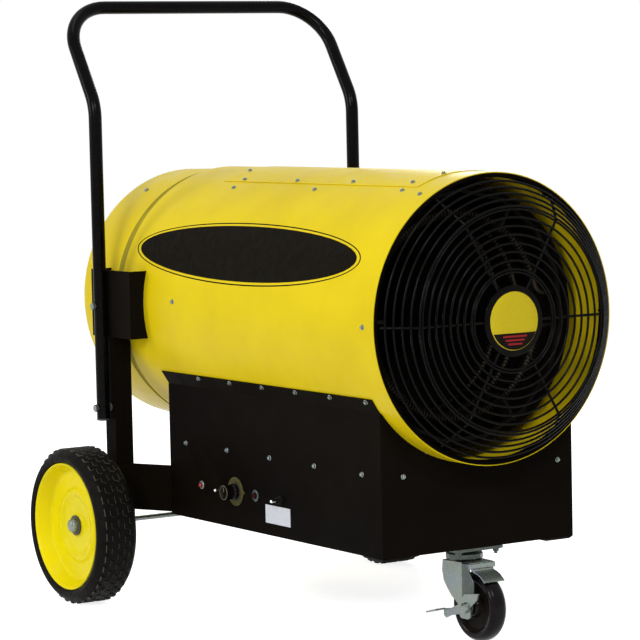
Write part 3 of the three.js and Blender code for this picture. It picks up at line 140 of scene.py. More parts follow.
def spread(tree, value, lowest, highest, start=0.35, end=0.65):
    """Stretches the middle of a noise onto a range."""
    inputs = {"Value": value, "From Min": start, "From Max": end, "To Min": lowest, "To Max": highest}
    return add(tree, "MapRange", inputs).outputs["Result"]


def blend(tree, factor, first, second):
    """Goes from one colour to the other."""
    inputs = {FACTOR: factor, COLOUR_A: first, COLOUR_B: second}
    return add(tree, "Mix", inputs, data_type="RGBA").outputs[MIXED]


def relief(tree, surface, height, depth, strength=1.0):
    """Bump on the surface, its height pattern scaled to a depth in millimetres."""
    bump = add(tree, "Bump", {"Height": height, "Distance": depth * MM, "Strength": strength})
    tree.links.new(bump.outputs["Normal"], surface.inputs["Normal"])


def set_surface(tree, surface, **inputs):
    for name, value in inputs.items():
        put(tree, surface.inputs[name.replace("_", " ")], value)


def gloss_enamel(name, colour, shade, smooth, wave=40):
    """Baked gloss enamel on sheet steel: an even colour, faint clouds, orange peel, soft dents."""
    material, tree, surface, place = start_material(name)
    clouds = spread(tree, noise(tree, place, 160), 0, 1)
    colour_out = blend(tree, clouds, linear(colour), linear(shade))
    rubbed = spread(tree, noise(tree, place, 35, 5), smooth, smooth + 0.1)
    peel = noise(tree, place, 3, 1)
    dents = noise(tree, place, wave * 3, 1)
    height = add(tree, "Math", {0: dents, 1: 14.0, 2: peel}, operation="MULTIPLY_ADD").outputs[0]
    relief(tree, surface, height, 0.05, 0.5)
    set_surface(tree, surface, Base_Color=colour_out, Roughness=rubbed, IOR=1.5, Specular_IOR_Level=0.07)
    return material


def black_powder_coat(name, colour, dusty_colour, smooth):
    """Semi-gloss black powder coat on folded steel: pebbled skin, dust in patches, edges a shade lighter."""
    material, tree, surface, place = start_material(name)
    dust = spread(tree, noise(tree, place, 90, 6, 0.6), 0, 1, 0.45, 0.75)
    edge_pointiness = add(tree, "NewGeometry").outputs["Pointiness"]
    edge = spread(tree, edge_pointiness, 0, 0.5, 0.53, 0.6)
    dusty = blend(tree, dust, linear(colour), linear(dusty_colour))
    colour_out = blend(tree, edge, dusty, linear("#17130F"))
    rough = spread(tree, noise(tree, place, 60, 4), smooth, smooth + 0.16)
    relief(tree, surface, noise(tree, place, 2.2, 2), 0.06, 0.6)
    set_surface(tree, surface, Base_Color=colour_out, Roughness=rough, IOR=1.5, Specular_IOR_Level=0.01)
    return material


def zinc_plate(name, colour, cloudy, bluish):
    """Bright zinc plate with a clear chromate: grey metal, cloudy, with faint blue and straw tints."""
    material, tree, surface, place = start_material(name)
    clouds = spread(tree, noise(tree, place, 12, 4), 0, 1)
    tint = blend(tree, clouds, linear(colour), linear(cloudy))
    blue = spread(tree, noise(tree, place, 40, 2), 0, 0.5, 0.5, 0.7)
    colour_out = blend(tree, blue, tint, linear(bluish))
    rough = spread(tree, noise(tree, place, 5, 4), 0.22, 0.36)
    relief(tree, surface, noise(tree, place, 1.5, 3), 0.03, 0.5)
    set_surface(tree, surface, Base_Color=colour_out, Metallic=0.7, Roughness=rough)
    return material


def chrome():
    """Bright chrome plate: a near mirror with hairline polishing marks."""
    material, tree, surface, place = start_material("chrome_plate")
    rough = spread(tree, noise(tree, place, 4, 5), 0.05, 0.16)
    set_surface(tree, surface, Base_Color=linear("#DADBDA"), Metallic=1.0, Roughness=rough)
    return material


def phenolic():
    """Moulded phenolic with canvas filler: chocolate black, flecked, polished by use."""
    material, tree, surface, place = start_material("moulded_phenolic")
    flecks = add(tree, "TexVoronoi", {"Vector": place, "Scale": per_metre(3)}).outputs["Distance"]
    mottle = spread(tree, noise(tree, place, 9, 5), 0, 1)
    body = blend(tree, mottle, linear("#130D0E"), linear("#0B0808"))
    colour_out = blend(tree, spread(tree, flecks, 0.4, 0, 0.0, 0.25), body, linear("#1E1618"))
    rough = spread(tree, noise(tree, place, 7, 4), 0.16, 0.28)
    set_surface(tree, surface, Base_Color=colour_out, Roughness=rough, IOR=1.6, Specular_IOR_Level=0.07)
    return material


def clouded(name, colour, shade, clouds, rough, bump=None, stretch=(0.35, 0.65), **settings):
    """A finish that clouds from one colour to a shade of it.

    clouds: the size, detail and roughness of the colour's noise, and stretch is the part of it that counts.
    rough: one value, or the lowest, the highest and a noise. bump: depth, strength and a noise.
    """
    material, tree, surface, place = start_material(name)
    share = spread(tree, noise(tree, place, *clouds), 0, 1, *stretch)
    colour_out = blend(tree, share, linear(colour), linear(shade))
    if isinstance(rough, tuple):
        lowest, highest, *pattern = rough
        rough = spread(tree, noise(tree, place, *pattern), lowest, highest)
    if bump:
        depth, strength, *pattern = bump
        relief(tree, surface, noise(tree, place, *pattern), depth, strength)
    set_surface(tree, surface, Base_Color=colour_out, Roughness=rough, **settings)
    return material


WORN = (0.5, 0.8)  # a stretch that leaves most of the surface in its first colour


def flat_print(name, colour, shade, rough):
    """One flat colour with a little wear: screen-printed and painted plates, and painted glints and shade on
    tyres, rack and caster wheel.
    """
    return clouded(name, colour, shade, (8, 6, 0.7), (rough, rough + 0.15, 12, 4), (0.02, 0.4, 1.5, 2), WORN,
                   IOR=1.5, Specular_IOR_Level=0.03)


def seen_or_mirrored(tree):
    """1 for what the camera sees, straight or in a reflection or through clear plastic, and 0 for light."""
    path = add(tree, "LightPath")
    rays = [path.outputs[f"Is {kind} Ray"] for kind in ("Camera", "Glossy", "Transmission")]
    either = add(tree, "Math", {0: rays[0], 1: rays[1]}, operation="MAXIMUM").outputs[0]
    return add(tree, "Math", {0: either, 1: rays[2]}, operation="MAXIMUM").outputs[0]


def studio_paper(name):
    """Seamless white studio paper: its own white to the camera, a plain matt reflector to everything else."""
    material = bpy.data.materials.new(name)
    material.use_nodes = True
    tree = material.node_tree
    tree.nodes.clear()
    matt = add(tree, "BsdfDiffuse", {"Color": linear("#F4F4F4")}).outputs[0]
    white = add(tree, "Emission", {"Color": linear("#FFFFFF"), "Strength": 0.84}).outputs[0]
    dark = add(tree, "Emission", {"Strength": 0.0}).outputs[0]
    glow = add(tree, "MixShader", {0: seen_or_mirrored(tree), 1: dark, 2: white}).outputs[0]
    both = add(tree, "AddShader", {0: matt, 1: glow}).outputs[0]
    add(tree, "OutputMaterial", {"Surface": both})
    return material


YELLOW = gloss_enamel("yellow_enamel", "#E8CE12", "#DFC410", 0.3)
RIM_YELLOW = gloss_enamel("rim_enamel", "#F2E10C", "#EAD90C", 0.22, 20)
# darker yellow for the neck groove between the drum's two sections: painted shade
NECK_SHADE_YELLOW = gloss_enamel("neck_painted_shade_enamel", "#A89828", "#8A7D26", 0.5)
BLACK = black_powder_coat("black_powder_coat", "#080605", "#0D0A08", 0.4)
LINER_BLACK = black_powder_coat("liner_black", "#050404", "#0A0908", 0.55)
# dipped gloss black enamel on steel wire and tube: wet highlights, faint runs
WIRE = clouded("gloss_black_dip", "#050404", "#0A0807", (14, 2), (0.14, 0.26, 30, 4), (0.15, 0.4, 14, 2),
               IOR=1.52, Specular_IOR_Level=0.05)
ZINC = zinc_plate("zinc_plate", "#788480", "#7E847C", "#7A8096")
# a darker copy of the zinc plate: painted shade on the fork's front panels and on the caster's plate and
# bolts under the cabinet
DARK_ZINC = zinc_plate("dark_zinc_plate", "#3E4743", "#4C514C", "#565C70")
CHROME = chrome()
# moulded tyre rubber: dead black with grey dust, finely pitted, dull
RUBBER = clouded("moulded_tyre_rubber", "#0A0907", "#14120F", (18, 6, 0.65), (0.5, 0.7, 10, 3),
                 (0.12, 0.6, 1.2, 4), WORN, IOR=1.52, Specular_IOR_Level=0.06)
PHENOLIC = phenolic()
# black moulded nylon: even, matt, with a spark-eroded grain
NYLON = clouded("moulded_nylon", "#232324", "#2B2B2C", (0.9, 2), 0.55, (0.05, 0.7, 0.9, 2), IOR=1.53)
# steel element sheath after heating: brown-grey oxide
SHEATH = clouded("oxidised_steel_sheath", "#26221E", "#332D24", (45, 3), 0.45, Metallic=0.9)
# mill-finish aluminium: pale, faintly streaked
ALUMINIUM = clouded("mill_aluminium", "#BFC2C3", "#A4A7A9", (6, 6, 0.7), (0.3, 0.5, 6, 6, 0.7), Metallic=1.0)
# clear red acrylic over a lamp: deep red, glossy, faintly see-through
LENS = clouded("red_acrylic", "#C21A30", "#9C1024", (3, 1), 0.12, IOR=1.49, Transmission_Weight=0.35)
MOTOR_GREY = black_powder_coat("motor_enamel", "#33363A", "#43464A", 0.4)
DECAL_BLACK = flat_print("black_vinyl", "#0E0B05", "#161107", 0.55)
# the badge's black print, and also painted shade in the caster wheel's recesses
BADGE_BLACK_AND_RECESS_SHADE = flat_print("badge_black_and_recess_shade", "#171310", "#221C18", 0.4)
BADGE_YELLOW = flat_print("badge_yellow", "#D2BC28", "#C8B224", 0.35)
BADGE_RED = flat_print("badge_red", "#9C2A2E", "#8A2428", 0.4)
OLIVE = flat_print("olive_dial_paint", "#4F4B2C", "#3E3B22", 0.5)
TICK_GREY = flat_print("tick_ink", "#6B6850", "#5A5842", 0.5)
RESET_RED = flat_print("reset_red", "#2C1012", "#1E0B0D", 0.3)
# lighter rubber on two walls of each tread block: painted glints
PAINTED_GLINT_RUBBER = flat_print("painted_glint_rubber", "#4A4843", "#2A2825", 0.35)
# near-black steel for the switch bodies and the element rack; on the rack it is painted shade inside the drum
DARK_STEEL = flat_print("dark_steel", "#1A1917", "#232220", 0.35)
TAG_WHITE = flat_print("white_tag", "#D6D8E0", "#C9CBD4", 0.5)

# ---------------------------------------------------------------------------------------------------------
# Mesh helpers. Each adds to a bmesh, in the frame's own place.

X, Y, Z = Vector((1, 0, 0)), Vector((0, 1, 0)), Vector((0, 0, 1))


def circle_angles(count):
    return [2 * pi * i / count for i in range(count)]


def ray(angle, right=Y, up=Z):
    """The direction at an angle from right towards up."""
    return right * cos(angle) + up * sin(angle)


def across(axis):
    """Two directions square to an axis and to each other."""
    other = Z if abs(axis.z) < 0.9 else X
    first = other.cross(axis).normalized()
    return first, axis.cross(first)


def in_mm(points):
    """Points given in millimetres, as metres."""
    return [(u * MM, v * MM) for u, v in points]


def rectangle(left, bottom, right, top):
    """The corners of a rectangle given in millimetres, as metres."""
    return in_mm([(left, bottom), (right, bottom), (right, top), (left, top)])


def softened(profile, radius, steps=3):
    """A closed profile of (radius, height) points with its corners rounded."""
    points = [Vector(p) for p in profile]
    result = []
    for i, here in enumerate(points):
        before, after = points[i - 1], points[(i + 1) % len(points)]
        reach = min(radius, (before - here).length / 2.2, (after - here).length / 2.2)
        if here.x <= 1e-9 or reach < 1e-7:
            result.append(tuple(here))
            continue
        start = here + (before - here).normalized() * reach
        end = here + (after - here).normalized() * reach
        for k in range(steps + 1):
            t = k / steps
            result.append(tuple(start * (1 - t) ** 2 + here * (2 * t * (1 - t)) + end * t ** 2))
    return result


def turn(bm, profile, centre, axis=X, facets=ROUND):
    """A closed profile of (radius, height) points turned round an axis through centre."""
    first, second = across(axis)
    rings = []
    for radius, height in profile:
        if radius <= 1e-9:
            rings.append([bm.verts.new(centre + axis * height)])
            continue
        arms = [ray(angle, first, second) for angle in circle_angles(facets)]
        rings.append([bm.verts.new(centre + axis * height + arm * radius) for arm in arms])
    for k, ring in enumerate(rings):
        beyond = rings[(k + 1) % len(rings)]
        if len(ring) == 1 and len(beyond) == 1:
            continue
        for i in range(facets):
            j = (i + 1) % facets
            corners = [ring[i % len(ring)], ring[j % len(ring)],
                       beyond[j % len(beyond)], beyond[i % len(beyond)]]
            bm.faces.new(list(dict.fromkeys(corners)))


def sweep(bm, path, radius, sides=12, closed=False):
    """A round wire or tube through the points of a path."""
    count = len(path)
    side = None
    rings = []
    for i, here in enumerate(path):
        before = path[i - 1] if closed or i else here
        after = path[(i + 1) % count] if closed or i < count - 1 else here
        along = (after - before).normalized()
        if side is None:
            side = across(along)[0]
        side = (side - along * side.dot(along)).normalized()
        other = along.cross(side)
        arms = [ray(angle, side, other) for angle in circle_angles(sides)]
        rings.append([bm.verts.new(here + arm * radius) for arm in arms])
    for i in range(count if closed else count - 1):
        band(bm, rings[i], rings[(i + 1) % count])
    if not closed:
        bm.faces.new(list(reversed(rings[0])))
        bm.faces.new(rings[-1])


def extrude(bm, outline, origin, right, up, depth):
    """A flat outline of (right, up) points, thickened along right x up by depth."""
    out = right.cross(up) * depth
    base = [bm.verts.new(origin + right * u + up * v) for u, v in outline]
    lid = [bm.verts.new(vert.co + out) for vert in base]
    bm.faces.new(list(reversed(base)))
    bm.faces.new(lid)
    band(bm, base, lid)


def grid(bm, rows):
    """The faces between neighbouring points of neighbouring rows."""
    for row, beyond in zip(rows, rows[1:]):
        for k in range(len(row) - 1):
            bm.faces.new([row[k], beyond[k], beyond[k + 1], row[k + 1]])


def band(bm, ring, beyond):
    """The faces between two closed rings of points."""
    grid(bm, [ring + ring[:1], beyond + beyond[:1]])


def thick_sheet(bm, inner, outer):
    """A sheet from the two grids of points of its sides: both sides and the four edges."""
    for rows in (inner, outer):
        grid(bm, rows)
    for i in (0, -1):
        grid(bm, [inner[i], outer[i]])
        grid(bm, [[row[i] for row in inner], [row[i] for row in outer]])


def round_path(corners, radii, steps=14):
    """Points along straight stretches whose corners are rounded to their radii."""
    points = [Vector(c) for c in corners]
    result = [points[0]]
    for i in range(1, len(points) - 1):
        before = (points[i] - points[i - 1]).normalized()
        after = (points[i + 1] - points[i]).normalized()
        angle = before.angle(after)
        start = points[i] - before * radii[i - 1] * math.tan(angle / 2)
        axis = before.cross(after).normalized()
        centre = start + axis.cross(before) * radii[i - 1]
        for k in range(steps + 1):
            result.append(centre + Matrix.Rotation(angle * k / steps, 3, axis) @ (start - centre))
    result.append(points[-1])
    return result


def circle(radius, x, facets=120):
    """Points of a circle round the drum's axis."""
    return [Vector((x, radius * cos(a), AXIS_Z + radius * sin(a))) for a in circle_angles(facets)]


def add_object(name, data):
    """A new object in the scene."""
    item = bpy.data.objects.new(name, data)
    bpy.context.scene.collection.objects.link(item)
    return item


def finish_piece(name, bm, material, body="chassis", stands_for=(), crease=32):
    """Makes the object of a bmesh: welded, outward, smooth between its sharp edges, riding on a body."""
    bmesh.ops.remove_doubles(bm, verts=bm.verts, dist=1e-6)
    bmesh.ops.recalc_face_normals(bm, faces=bm.faces)
    mesh = bpy.data.meshes.new(name)
    bm.to_mesh(mesh)
    bm.free()
    mesh.polygons.foreach_set("use_smooth", [True] * len(mesh.polygons))
    mesh.set_sharp_from_angle(angle=radians(crease))
    mesh.materials.append(material)
    piece = add_object(name, mesh)
    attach(piece, body)
    if stands_for:
        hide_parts(*stands_for)
    return piece


def turned_piece(name, profile, centre, axis, material, body, stands_for=(), facets=ROUND, soft=0.0):
    """A whole piece turned from one profile."""
    bm = bmesh.new()
    turn(bm, softened(profile, soft) if soft else profile, centre, axis, facets)
    return finish_piece(name, bm, material, body, stands_for)


def dress(node, material, edge=0.0):
    """Gives a CAD node its finish, and its edges a small round where they catch the light."""
    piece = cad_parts[node]
    for slot in piece.material_slots:
        slot.material = material
    if edge:
        round_edges(piece, edge)


def round_edges(piece, edge):
    rounding = piece.modifiers.new("edges", "BEVEL")
    rounding.width = edge * MM
    rounding.segments = 2
    rounding.limit_method = "ANGLE"
    rounding.angle_limit = radians(40)


# ---------------------------------------------------------------------------------------------------------
# Drum

DRUM_AXIS = Vector((0, 0, AXIS_Z))
LIP = 7.5 * MM  # how far the outlet's trim ring is folded in


def drum_turned(name, profile, material, stands_for, soft=0.4):
    """A piece turned round the drum's axis; heights are X in the frame."""
    return turned_piece(name, profile, DRUM_AXIS, X, material, "chassis", stands_for, soft=soft * MM)


def make_drum():
    joint, shoulder = JACKET_BACK, JACKET_BACK - 26 * MM
    neck = DRUM_R - 6 * MM
    rear, rear_end = 252 * MM, 249.5 * MM
    # the jacket's inner wall is yellow to this X and black behind it: painted shade deep inside the drum
    painted_shade_from = behind(205)
    jacket = drum_turned("drum_jacket_sheet", [
        (DRUM_R - SHEET, joint), (DRUM_R, joint), (DRUM_R, FRONT), (DRUM_R - SHEET, FRONT),
        (DRUM_R - SHEET, painted_shade_from),
    ], YELLOW, ["drum_jacket"], 0)
    half_way = DRUM_R - SHEET / 2
    # liner black on the jacket's inner wall behind that X: painted shade
    second_finish(jacket, LINER_BLACK, lambda c: c.x < painted_shade_from and (c - DRUM_AXIS).yz.length < half_way)
    rear_sheet = drum_turned("drum_rear_sheet", [
        (rear_end - SHEET, DRUM_BACK), (rear_end, DRUM_BACK), (rear, shoulder), (neck, shoulder + 1.5 * MM),
        (neck, joint - 1.5 * MM), (DRUM_R - 2 * SHEET, joint + FIT), (DRUM_R - SHEET - FIT, joint + 16 * MM),
        (neck - SHEET, joint + 16 * MM), (neck - SHEET, shoulder), (rear - SHEET, shoulder - 2 * SHEET),
    ], YELLOW, ["rear_section"], 1.2)
    # the neck groove takes the darker yellow: painted shade in the groove
    second_finish(rear_sheet, NECK_SHADE_YELLOW, lambda c: shoulder - 1 * MM < c.x < joint)
    outer = DRUM_R - SHEET - FIT
    lip = outer - LIP
    drum_turned("outlet_trim", [
        (outer, FRONT - SHEET), (outer, FRONT), (lip, FRONT), (lip, behind(20)), (lip + SHEET, behind(20)),
        (lip + SHEET, FRONT - SHEET),
    ], BLACK, ["outlet_ring"], 1.0)
    back = DRUM_BACK + 2 * MM
    outer = rear_end - SHEET - FIT
    drum_turned("inlet_trim", [
        (outer - 16 * MM, back), (outer, back), (outer, back + 18 * MM), (outer - SHEET, back + 18 * MM),
        (outer - SHEET, back + SHEET), (outer - 16 * MM, back + SHEET),
    ], BLACK, ["inlet_ring"], 1.0)
    tube, flange = 228 * MM, DRUM_R - SHEET - FIT
    front, back = high("inner_liner").x, low("inner_liner").x
    stop, mouth = front - 140 * MM, front - 22 * MM
    drum_turned("liner_tube", [
        (tube - SHEET, back), (flange, back), (flange, back + SHEET), (tube, back + SHEET),
        (tube, stop - SHEET), (flange, stop - SHEET), (flange, stop), (tube, stop), (tube, mouth - 1.5 * MM),
        (tube + 1.2 * MM, mouth), (tube - SHEET, mouth),
    ], LINER_BLACK, ["inner_liner"], 0)
    front, back = high("fan_orifice").x, low("fan_orifice").x
    throat = 203 * MM
    drum_turned("orifice_plate", [
        (throat, back), (flange, back), (flange, back + SHEET), (throat + 14 * MM, back + SHEET),
        (throat + SHEET, back + 14 * MM), (throat + SHEET, front), (throat, front),
    ], LINER_BLACK, ["fan_orifice"], 6)


def second_finish(piece, material, chosen):
    """Gives the faces whose middle passes the test another material."""
    piece.data.materials.append(material)
    for face in piece.data.polygons:
        if chosen(face.center):
            face.material_index = 1


def drum_patch(bm, start, end, first_deg, last_deg, radius, thickness, along=2, around=40):
    """A curved sheet lying on the drum between two X places and two angles from the near horizontal."""
    places = [start + (end - start) * k / along for k in range(along + 1)]
    layers = []
    for r in (radius, radius + thickness):
        rows = []
        for i in range(around + 1):
            angle = radians(first_deg + (last_deg - first_deg) * i / around)
            arm = Vector((0, -r * cos(angle), AXIS_Z + r * sin(angle)))
            rows.append([bm.verts.new(arm + X * place) for place in places])
        layers.append(rows)
    thick_sheet(bm, *layers)


def make_top_cover():
    bm = bmesh.new()
    drum_patch(bm, low("top_access_cover").x, high("top_access_cover").x, 65, 115, DRUM_R + FIT / 2, SHEET)
    cover = finish_piece("top_cover_sheet", bm, YELLOW, "chassis", ["top_access_cover"])
    rounding = cover.modifiers.new("edges", "BEVEL")
    rounding.width = 0.5 * MM
    rounding.segments = 2


JACKET_LENGTH = 868  # millimetres
REAR_R = 251 * MM  # the rear section's radius half way along
MARK_AT = 455, 25.6  # the side mark's middle: millimetres behind the front edge, degrees up the drum's flank


def on_drum(distance, angle_deg, lift=0.0):
    """The place on the drum's skin and its outward direction, from the distance behind the front edge and the
    angle above the near horizontal."""
    angle = radians(angle_deg)
    out = Vector((0, -cos(angle), sin(angle)))
    radius = DRUM_R if distance < JACKET_LENGTH else REAR_R
    return DRUM_AXIS + X * behind(distance) + out * (radius + lift), out


def oval_on_drum(bm, half_length, half_height, lift, thickness, hole=None, facets=96):
    """A flat oval, or an oval ring, wrapped round the drum's near flank."""
    centre_x, centre_deg = MARK_AT
    loops = []
    for scale in ((half_length, half_height), hole or (0, 0)):
        for level in (lift, lift + thickness):
            ring = []
            for angle in circle_angles(facets):
                along = centre_x - scale[0] * cos(angle)
                degrees = centre_deg + math.degrees(scale[1] * sin(angle) * MM / DRUM_R)
                ring.append(bm.verts.new(on_drum(along, degrees, level)[0]))
            loops.append(ring)
    low_out, high_out, low_in, high_in = loops
    for ring, beyond in ((low_out, high_out), (high_out, high_in), (high_in, low_in), (low_in, low_out)):
        band(bm, ring, beyond)


def make_side_mark():
    """A plain dark oval with a keyline."""
    strips, steps = 24, 8
    centre_x, centre_deg = MARK_AT
    half_length, half_height = 372, 55
    bm = bmesh.new()
    rows = []
    for i in range(strips + 1):
        angle = pi * i / strips
        reach = half_height * sin(angle)
        along = centre_x + half_length * cos(angle)
        row = []
        for k in range(steps + 1):
            degrees = centre_deg + math.degrees(reach * (2 * k / steps - 1) * MM / DRUM_R)
            row.append(bm.verts.new(on_drum(along, degrees, 0.15 * MM)[0]))
        rows.append(row)
    grid(bm, rows)
    finish_piece("side_mark_oval", bm, DECAL_BLACK)
    bm = bmesh.new()
    oval_on_drum(bm, 384, 62, 0.05 * MM, 0.1 * MM, (380.5, 59.5))
    finish_piece("side_mark_keyline", bm, DECAL_BLACK)


def make_screws():
    """Hexagon washer-head sheet screws wherever the sheets are joined."""
    bm = bmesh.new()
    drum_places = [
        (671, 2.6), (32, 0), (970, 57.6),
        (701, 77), (648, 66.5), (464, 66.6), (282, 67.2), (103, 68.3), (79.5, 79.7),
        (648, 60), (370, 60.5), (100, 62), (35, 59.8),
    ]
    for distance, angle in drum_places:
        lift = 1.8 * MM if 66 < angle < 90 else 0
        place, out = on_drum(distance, angle, lift)
        sheet_screw(bm, place, out)
    for distance in (671, 32, 370, 100):
        place, out = on_drum(distance, 180)
        sheet_screw(bm, place, out)
    lean = radians(33)
    for side in (-1, 1):
        out = Vector((0, side * cos(lean), -sin(lean)))
        for i in range(6):
            x = behind(640 - 112.5 * i)
            along = Vector((0, side * sin(lean), cos(lean)))
            foot = DRUM_AXIS + X * x + out * (DRUM_R + 2.3 * MM) + along * 8 * MM
            sheet_screw(bm, foot, out)
        for distance in (715, 565, 415, 265, 113):
            sheet_screw(bm, Vector((behind(distance), side * -NEAR_PANEL, 310.5 * MM)), Y * side)
    for y, z in ((-162, 308), (176, 308), (-111, 348.6)):
        sheet_screw(bm, Vector((CABINET_FRONT, y * MM, z * MM)), X)
    finish_piece("sheet_screws", bm, ZINC)


def sheet_screw(bm, place, out):
    """A washer face with a hexagon head on it."""
    turn(bm, in_mm([(0, -0.4), (4.6, -0.4), (4.9, 0.3), (4.4, 0.9), (0, 1.1)]), place, out, 20)
    turn(bm, in_mm([(0, 0.5), (3.6, 0.5), (3.6, 3.2), (3.1, 3.8), (0, 4.0)]), place, out, 6)


# ---------------------------------------------------------------------------------------------------------
# Guards

WIRE_R = 2.1 * MM
SPOKE_R = 2.4 * MM
FLAT_OUT, SKIRT_OUT = 55, 13  # how far the flat zone and the skirt's last ring stand before the drum, mm
FLAT_EDGE, SKIRT_EDGE = 198, 241  # the radii at which they end, mm
FLAT_X = FRONT + FLAT_OUT * MM


def make_outlet_guard():
    bm = bmesh.new()
    flat = [89.5, 84.5] + [89.5 + 14.9 * i for i in range(1, 7)] + [193, FLAT_EDGE]
    rings = [(r * MM, FLAT_X) for r in flat]
    for i in range(1, 5):
        share = i / 4
        radius = FLAT_EDGE + (SKIRT_EDGE - FLAT_EDGE) * share
        rings.append((radius * MM, FRONT + (FLAT_OUT + (SKIRT_OUT - FLAT_OUT) * share) * MM))
    for radius, x in rings:
        sweep(bm, circle(radius, x), WIRE_R, 10, closed=True)
    under = 3.1 * MM  # the spokes' centre line lies this far behind the rings'
    slope = math.atan2(FLAT_OUT - SKIRT_OUT, SKIRT_EDGE - FLAT_EDGE)
    collar = DRUM_R - SHEET - FIT - LIP - FIT - SPOKE_R
    drop = (collar - SKIRT_EDGE * MM + under * sin(slope)) * math.tan(slope)
    corners = [
        (FLAT_X - under, 30 * MM),
        (FLAT_X - under, FLAT_EDGE * MM - under * math.tan(slope / 2)),
        (FRONT + SKIRT_OUT * MM - drop - under * cos(slope), collar),
        (behind(16), collar),
    ]
    for i in range(6):
        arm = ray(radians(60 * i))
        path = round_path([DRUM_AXIS + X * x + arm * r for x, r in corners], [6 * MM, 6 * MM], 6)
        sweep(bm, path, SPOKE_R, 10)
    turn(bm, softened(rectangle(0, -2.2, 62, 0.8), 1.0 * MM), DRUM_AXIS + X * FLAT_X, X, 96)
    finish_piece("outlet_guard_wire", bm, WIRE, "chassis", ["outlet_guard"], 40)


def make_badge():
    """A round plate on the guard's hub: yellow, a dark band across its foot, three red bars."""
    seat = DRUM_AXIS + X * low("hub_badge").x
    radius, band_top = 51, -0.42  # the band's top edge as a share of the plate's radius
    plate = [(0, 0), (radius, 0), (radius, 1), (radius - 1, 1.4), (radius * 0.6, 1.9), (0, 2.2)]
    turned_piece("badge_plate", in_mm(plate), seat, X, BADGE_YELLOW, "chassis", ["hub_badge"], 96)
    bm = bmesh.new()
    edge = radius - 1.2
    start = math.asin(band_top)
    arc = [pi - start + (2 * start + pi) * k / 40 for k in range(41)]
    outline = in_mm([(edge * cos(a), edge * sin(a)) for a in arc])
    extrude(bm, outline, seat + X * 1.0 * MM, Y, Z, 1.3 * MM)
    finish_piece("badge_band", bm, BADGE_BLACK_AND_RECESS_SHADE)
    bm = bmesh.new()
    for i in range(3):
        z = (-0.52 - 0.13 * i) * radius
        half = radius * (0.5 - 0.1 * i)
        extrude(bm, rectangle(-half, z - 1.6, half, z + 1.6), seat + X * 1.9 * MM, Y, Z, 0.7 * MM)
    finish_piece("badge_bars", bm, BADGE_RED)


def make_inlet_guard():
    bm = bmesh.new()
    x = middle("inlet_guard").x - 1 * MM
    inner = 40 * MM
    reach = high("inlet_guard").z - AXIS_Z
    for i in range(9):
        sweep(bm, circle(inner + (reach - WIRE_R - inner) * i / 8, x), WIRE_R, 8, closed=True)
    for i in range(4):
        arm = ray(radians(45 + 90 * i))
        foot = DRUM_AXIS + X * (x + 2.4 * MM)
        sweep(bm, [foot + arm * (inner - WIRE_R), foot + arm * reach], SPOKE_R, 8)
    finish_piece("inlet_guard_wire", bm, WIRE, "chassis", ["inlet_guard"], 40)


# ---------------------------------------------------------------------------------------------------------
# Inside the drum

def make_elements():
    """Tubular elements with spiral fins, drawn as closely pitched discs."""
    loop = 185 * MM
    lead, bend = 30 * MM, 22 * MM
    reach = 222 * MM
    for n in range(3):
        node = f"heating_element_{n + 1}"
        x = middle(node).x
        bend_y = math.sqrt((loop + bend) ** 2 - (lead + bend) ** 2)
        meet = math.atan2(lead + bend, bend_y)
        path = [Vector((x, reach, lead)), Vector((x, bend_y, lead))]
        for k in range(1, 6):
            a = -pi / 2 - (pi / 2 - meet) * k / 5
            path.append(Vector((x, bend_y + bend * cos(a), lead + bend + bend * sin(a))))
        steps = 72
        for k in range(1, steps):
            a = meet + (2 * pi - 2 * meet) * k / steps
            path.append(Vector((x, loop * cos(a), loop * sin(a))))
        path += [Vector((p.x, p.y, -p.z)) for p in reversed(path[:7])]
        path = [p + DRUM_AXIS for p in path]
        bm = bmesh.new()
        sweep(bm, path, 6 * MM, 10)
        fins = 150
        for k in range(fins):
            a = meet + 0.1 + (2 * pi - 2 * meet - 0.2) * k / (fins - 1)
            centre = DRUM_AXIS + Vector((x, loop * cos(a), loop * sin(a)))
            along = Vector((0, -sin(a), cos(a)))
            turn(bm, rectangle(5.5, -0.4, 11, 0.4), centre, along, 12)
        finish_piece(f"finned_element_{n + 1}", bm, SHEATH, "chassis", [node], 40)


def make_fan():
    """Spun hub with twisted, cambered sheet blades."""
    centre = Vector((middle("fan_rotor").x, 0, AXIS_Z))
    bm = bmesh.new()
    bore, hub, half, blades = 8.4, 42, 23, 5
    turn(bm, softened(rectangle(bore, -half, hub, half), 4 * MM), centre, X, 48)
    for n in range(blades):
        blade(bm, centre, Matrix.Rotation(2 * pi * n / blades, 3, X), hub * 0.9 * MM, 196 * MM)
    finish_piece("fan_wheel", bm, ALUMINIUM, "fan", ["fan_rotor"], 40)


def blade(bm, centre, spin, root, tip):
    """One blade: steep and narrow at its root, flatter and wider towards its tip."""
    sections, chords = 9, 8
    root_pitch, tip_pitch = 42, 24
    layers = []
    for side in (-1, 1):
        rows = []
        for i in range(sections):
            share = i / (sections - 1)
            pitch = radians(root_pitch + (tip_pitch - root_pitch) * share)
            width = 92 * MM * (0.72 + 0.28 * sin(share * pi * 0.8))
            row = []
            for k in range(chords):
                t = k / (chords - 1) - 0.5
                camber = 7 * MM * (1 - 4 * t * t)
                across_blade = t * width
                thick = side * 0.9 * MM + camber
                x = thick * cos(pitch) + across_blade * sin(pitch)
                y = across_blade * cos(pitch) - thick * sin(pitch)
                reach = root + (tip - root) * share
                z = math.sqrt(max(reach * reach - y * y, 0)) if share == 1 else reach
                row.append(bm.verts.new(centre + spin @ Vector((x * 0.6, y, z))))
            rows.append(row)
        layers.append(rows)
    thick_sheet(bm, *layers)


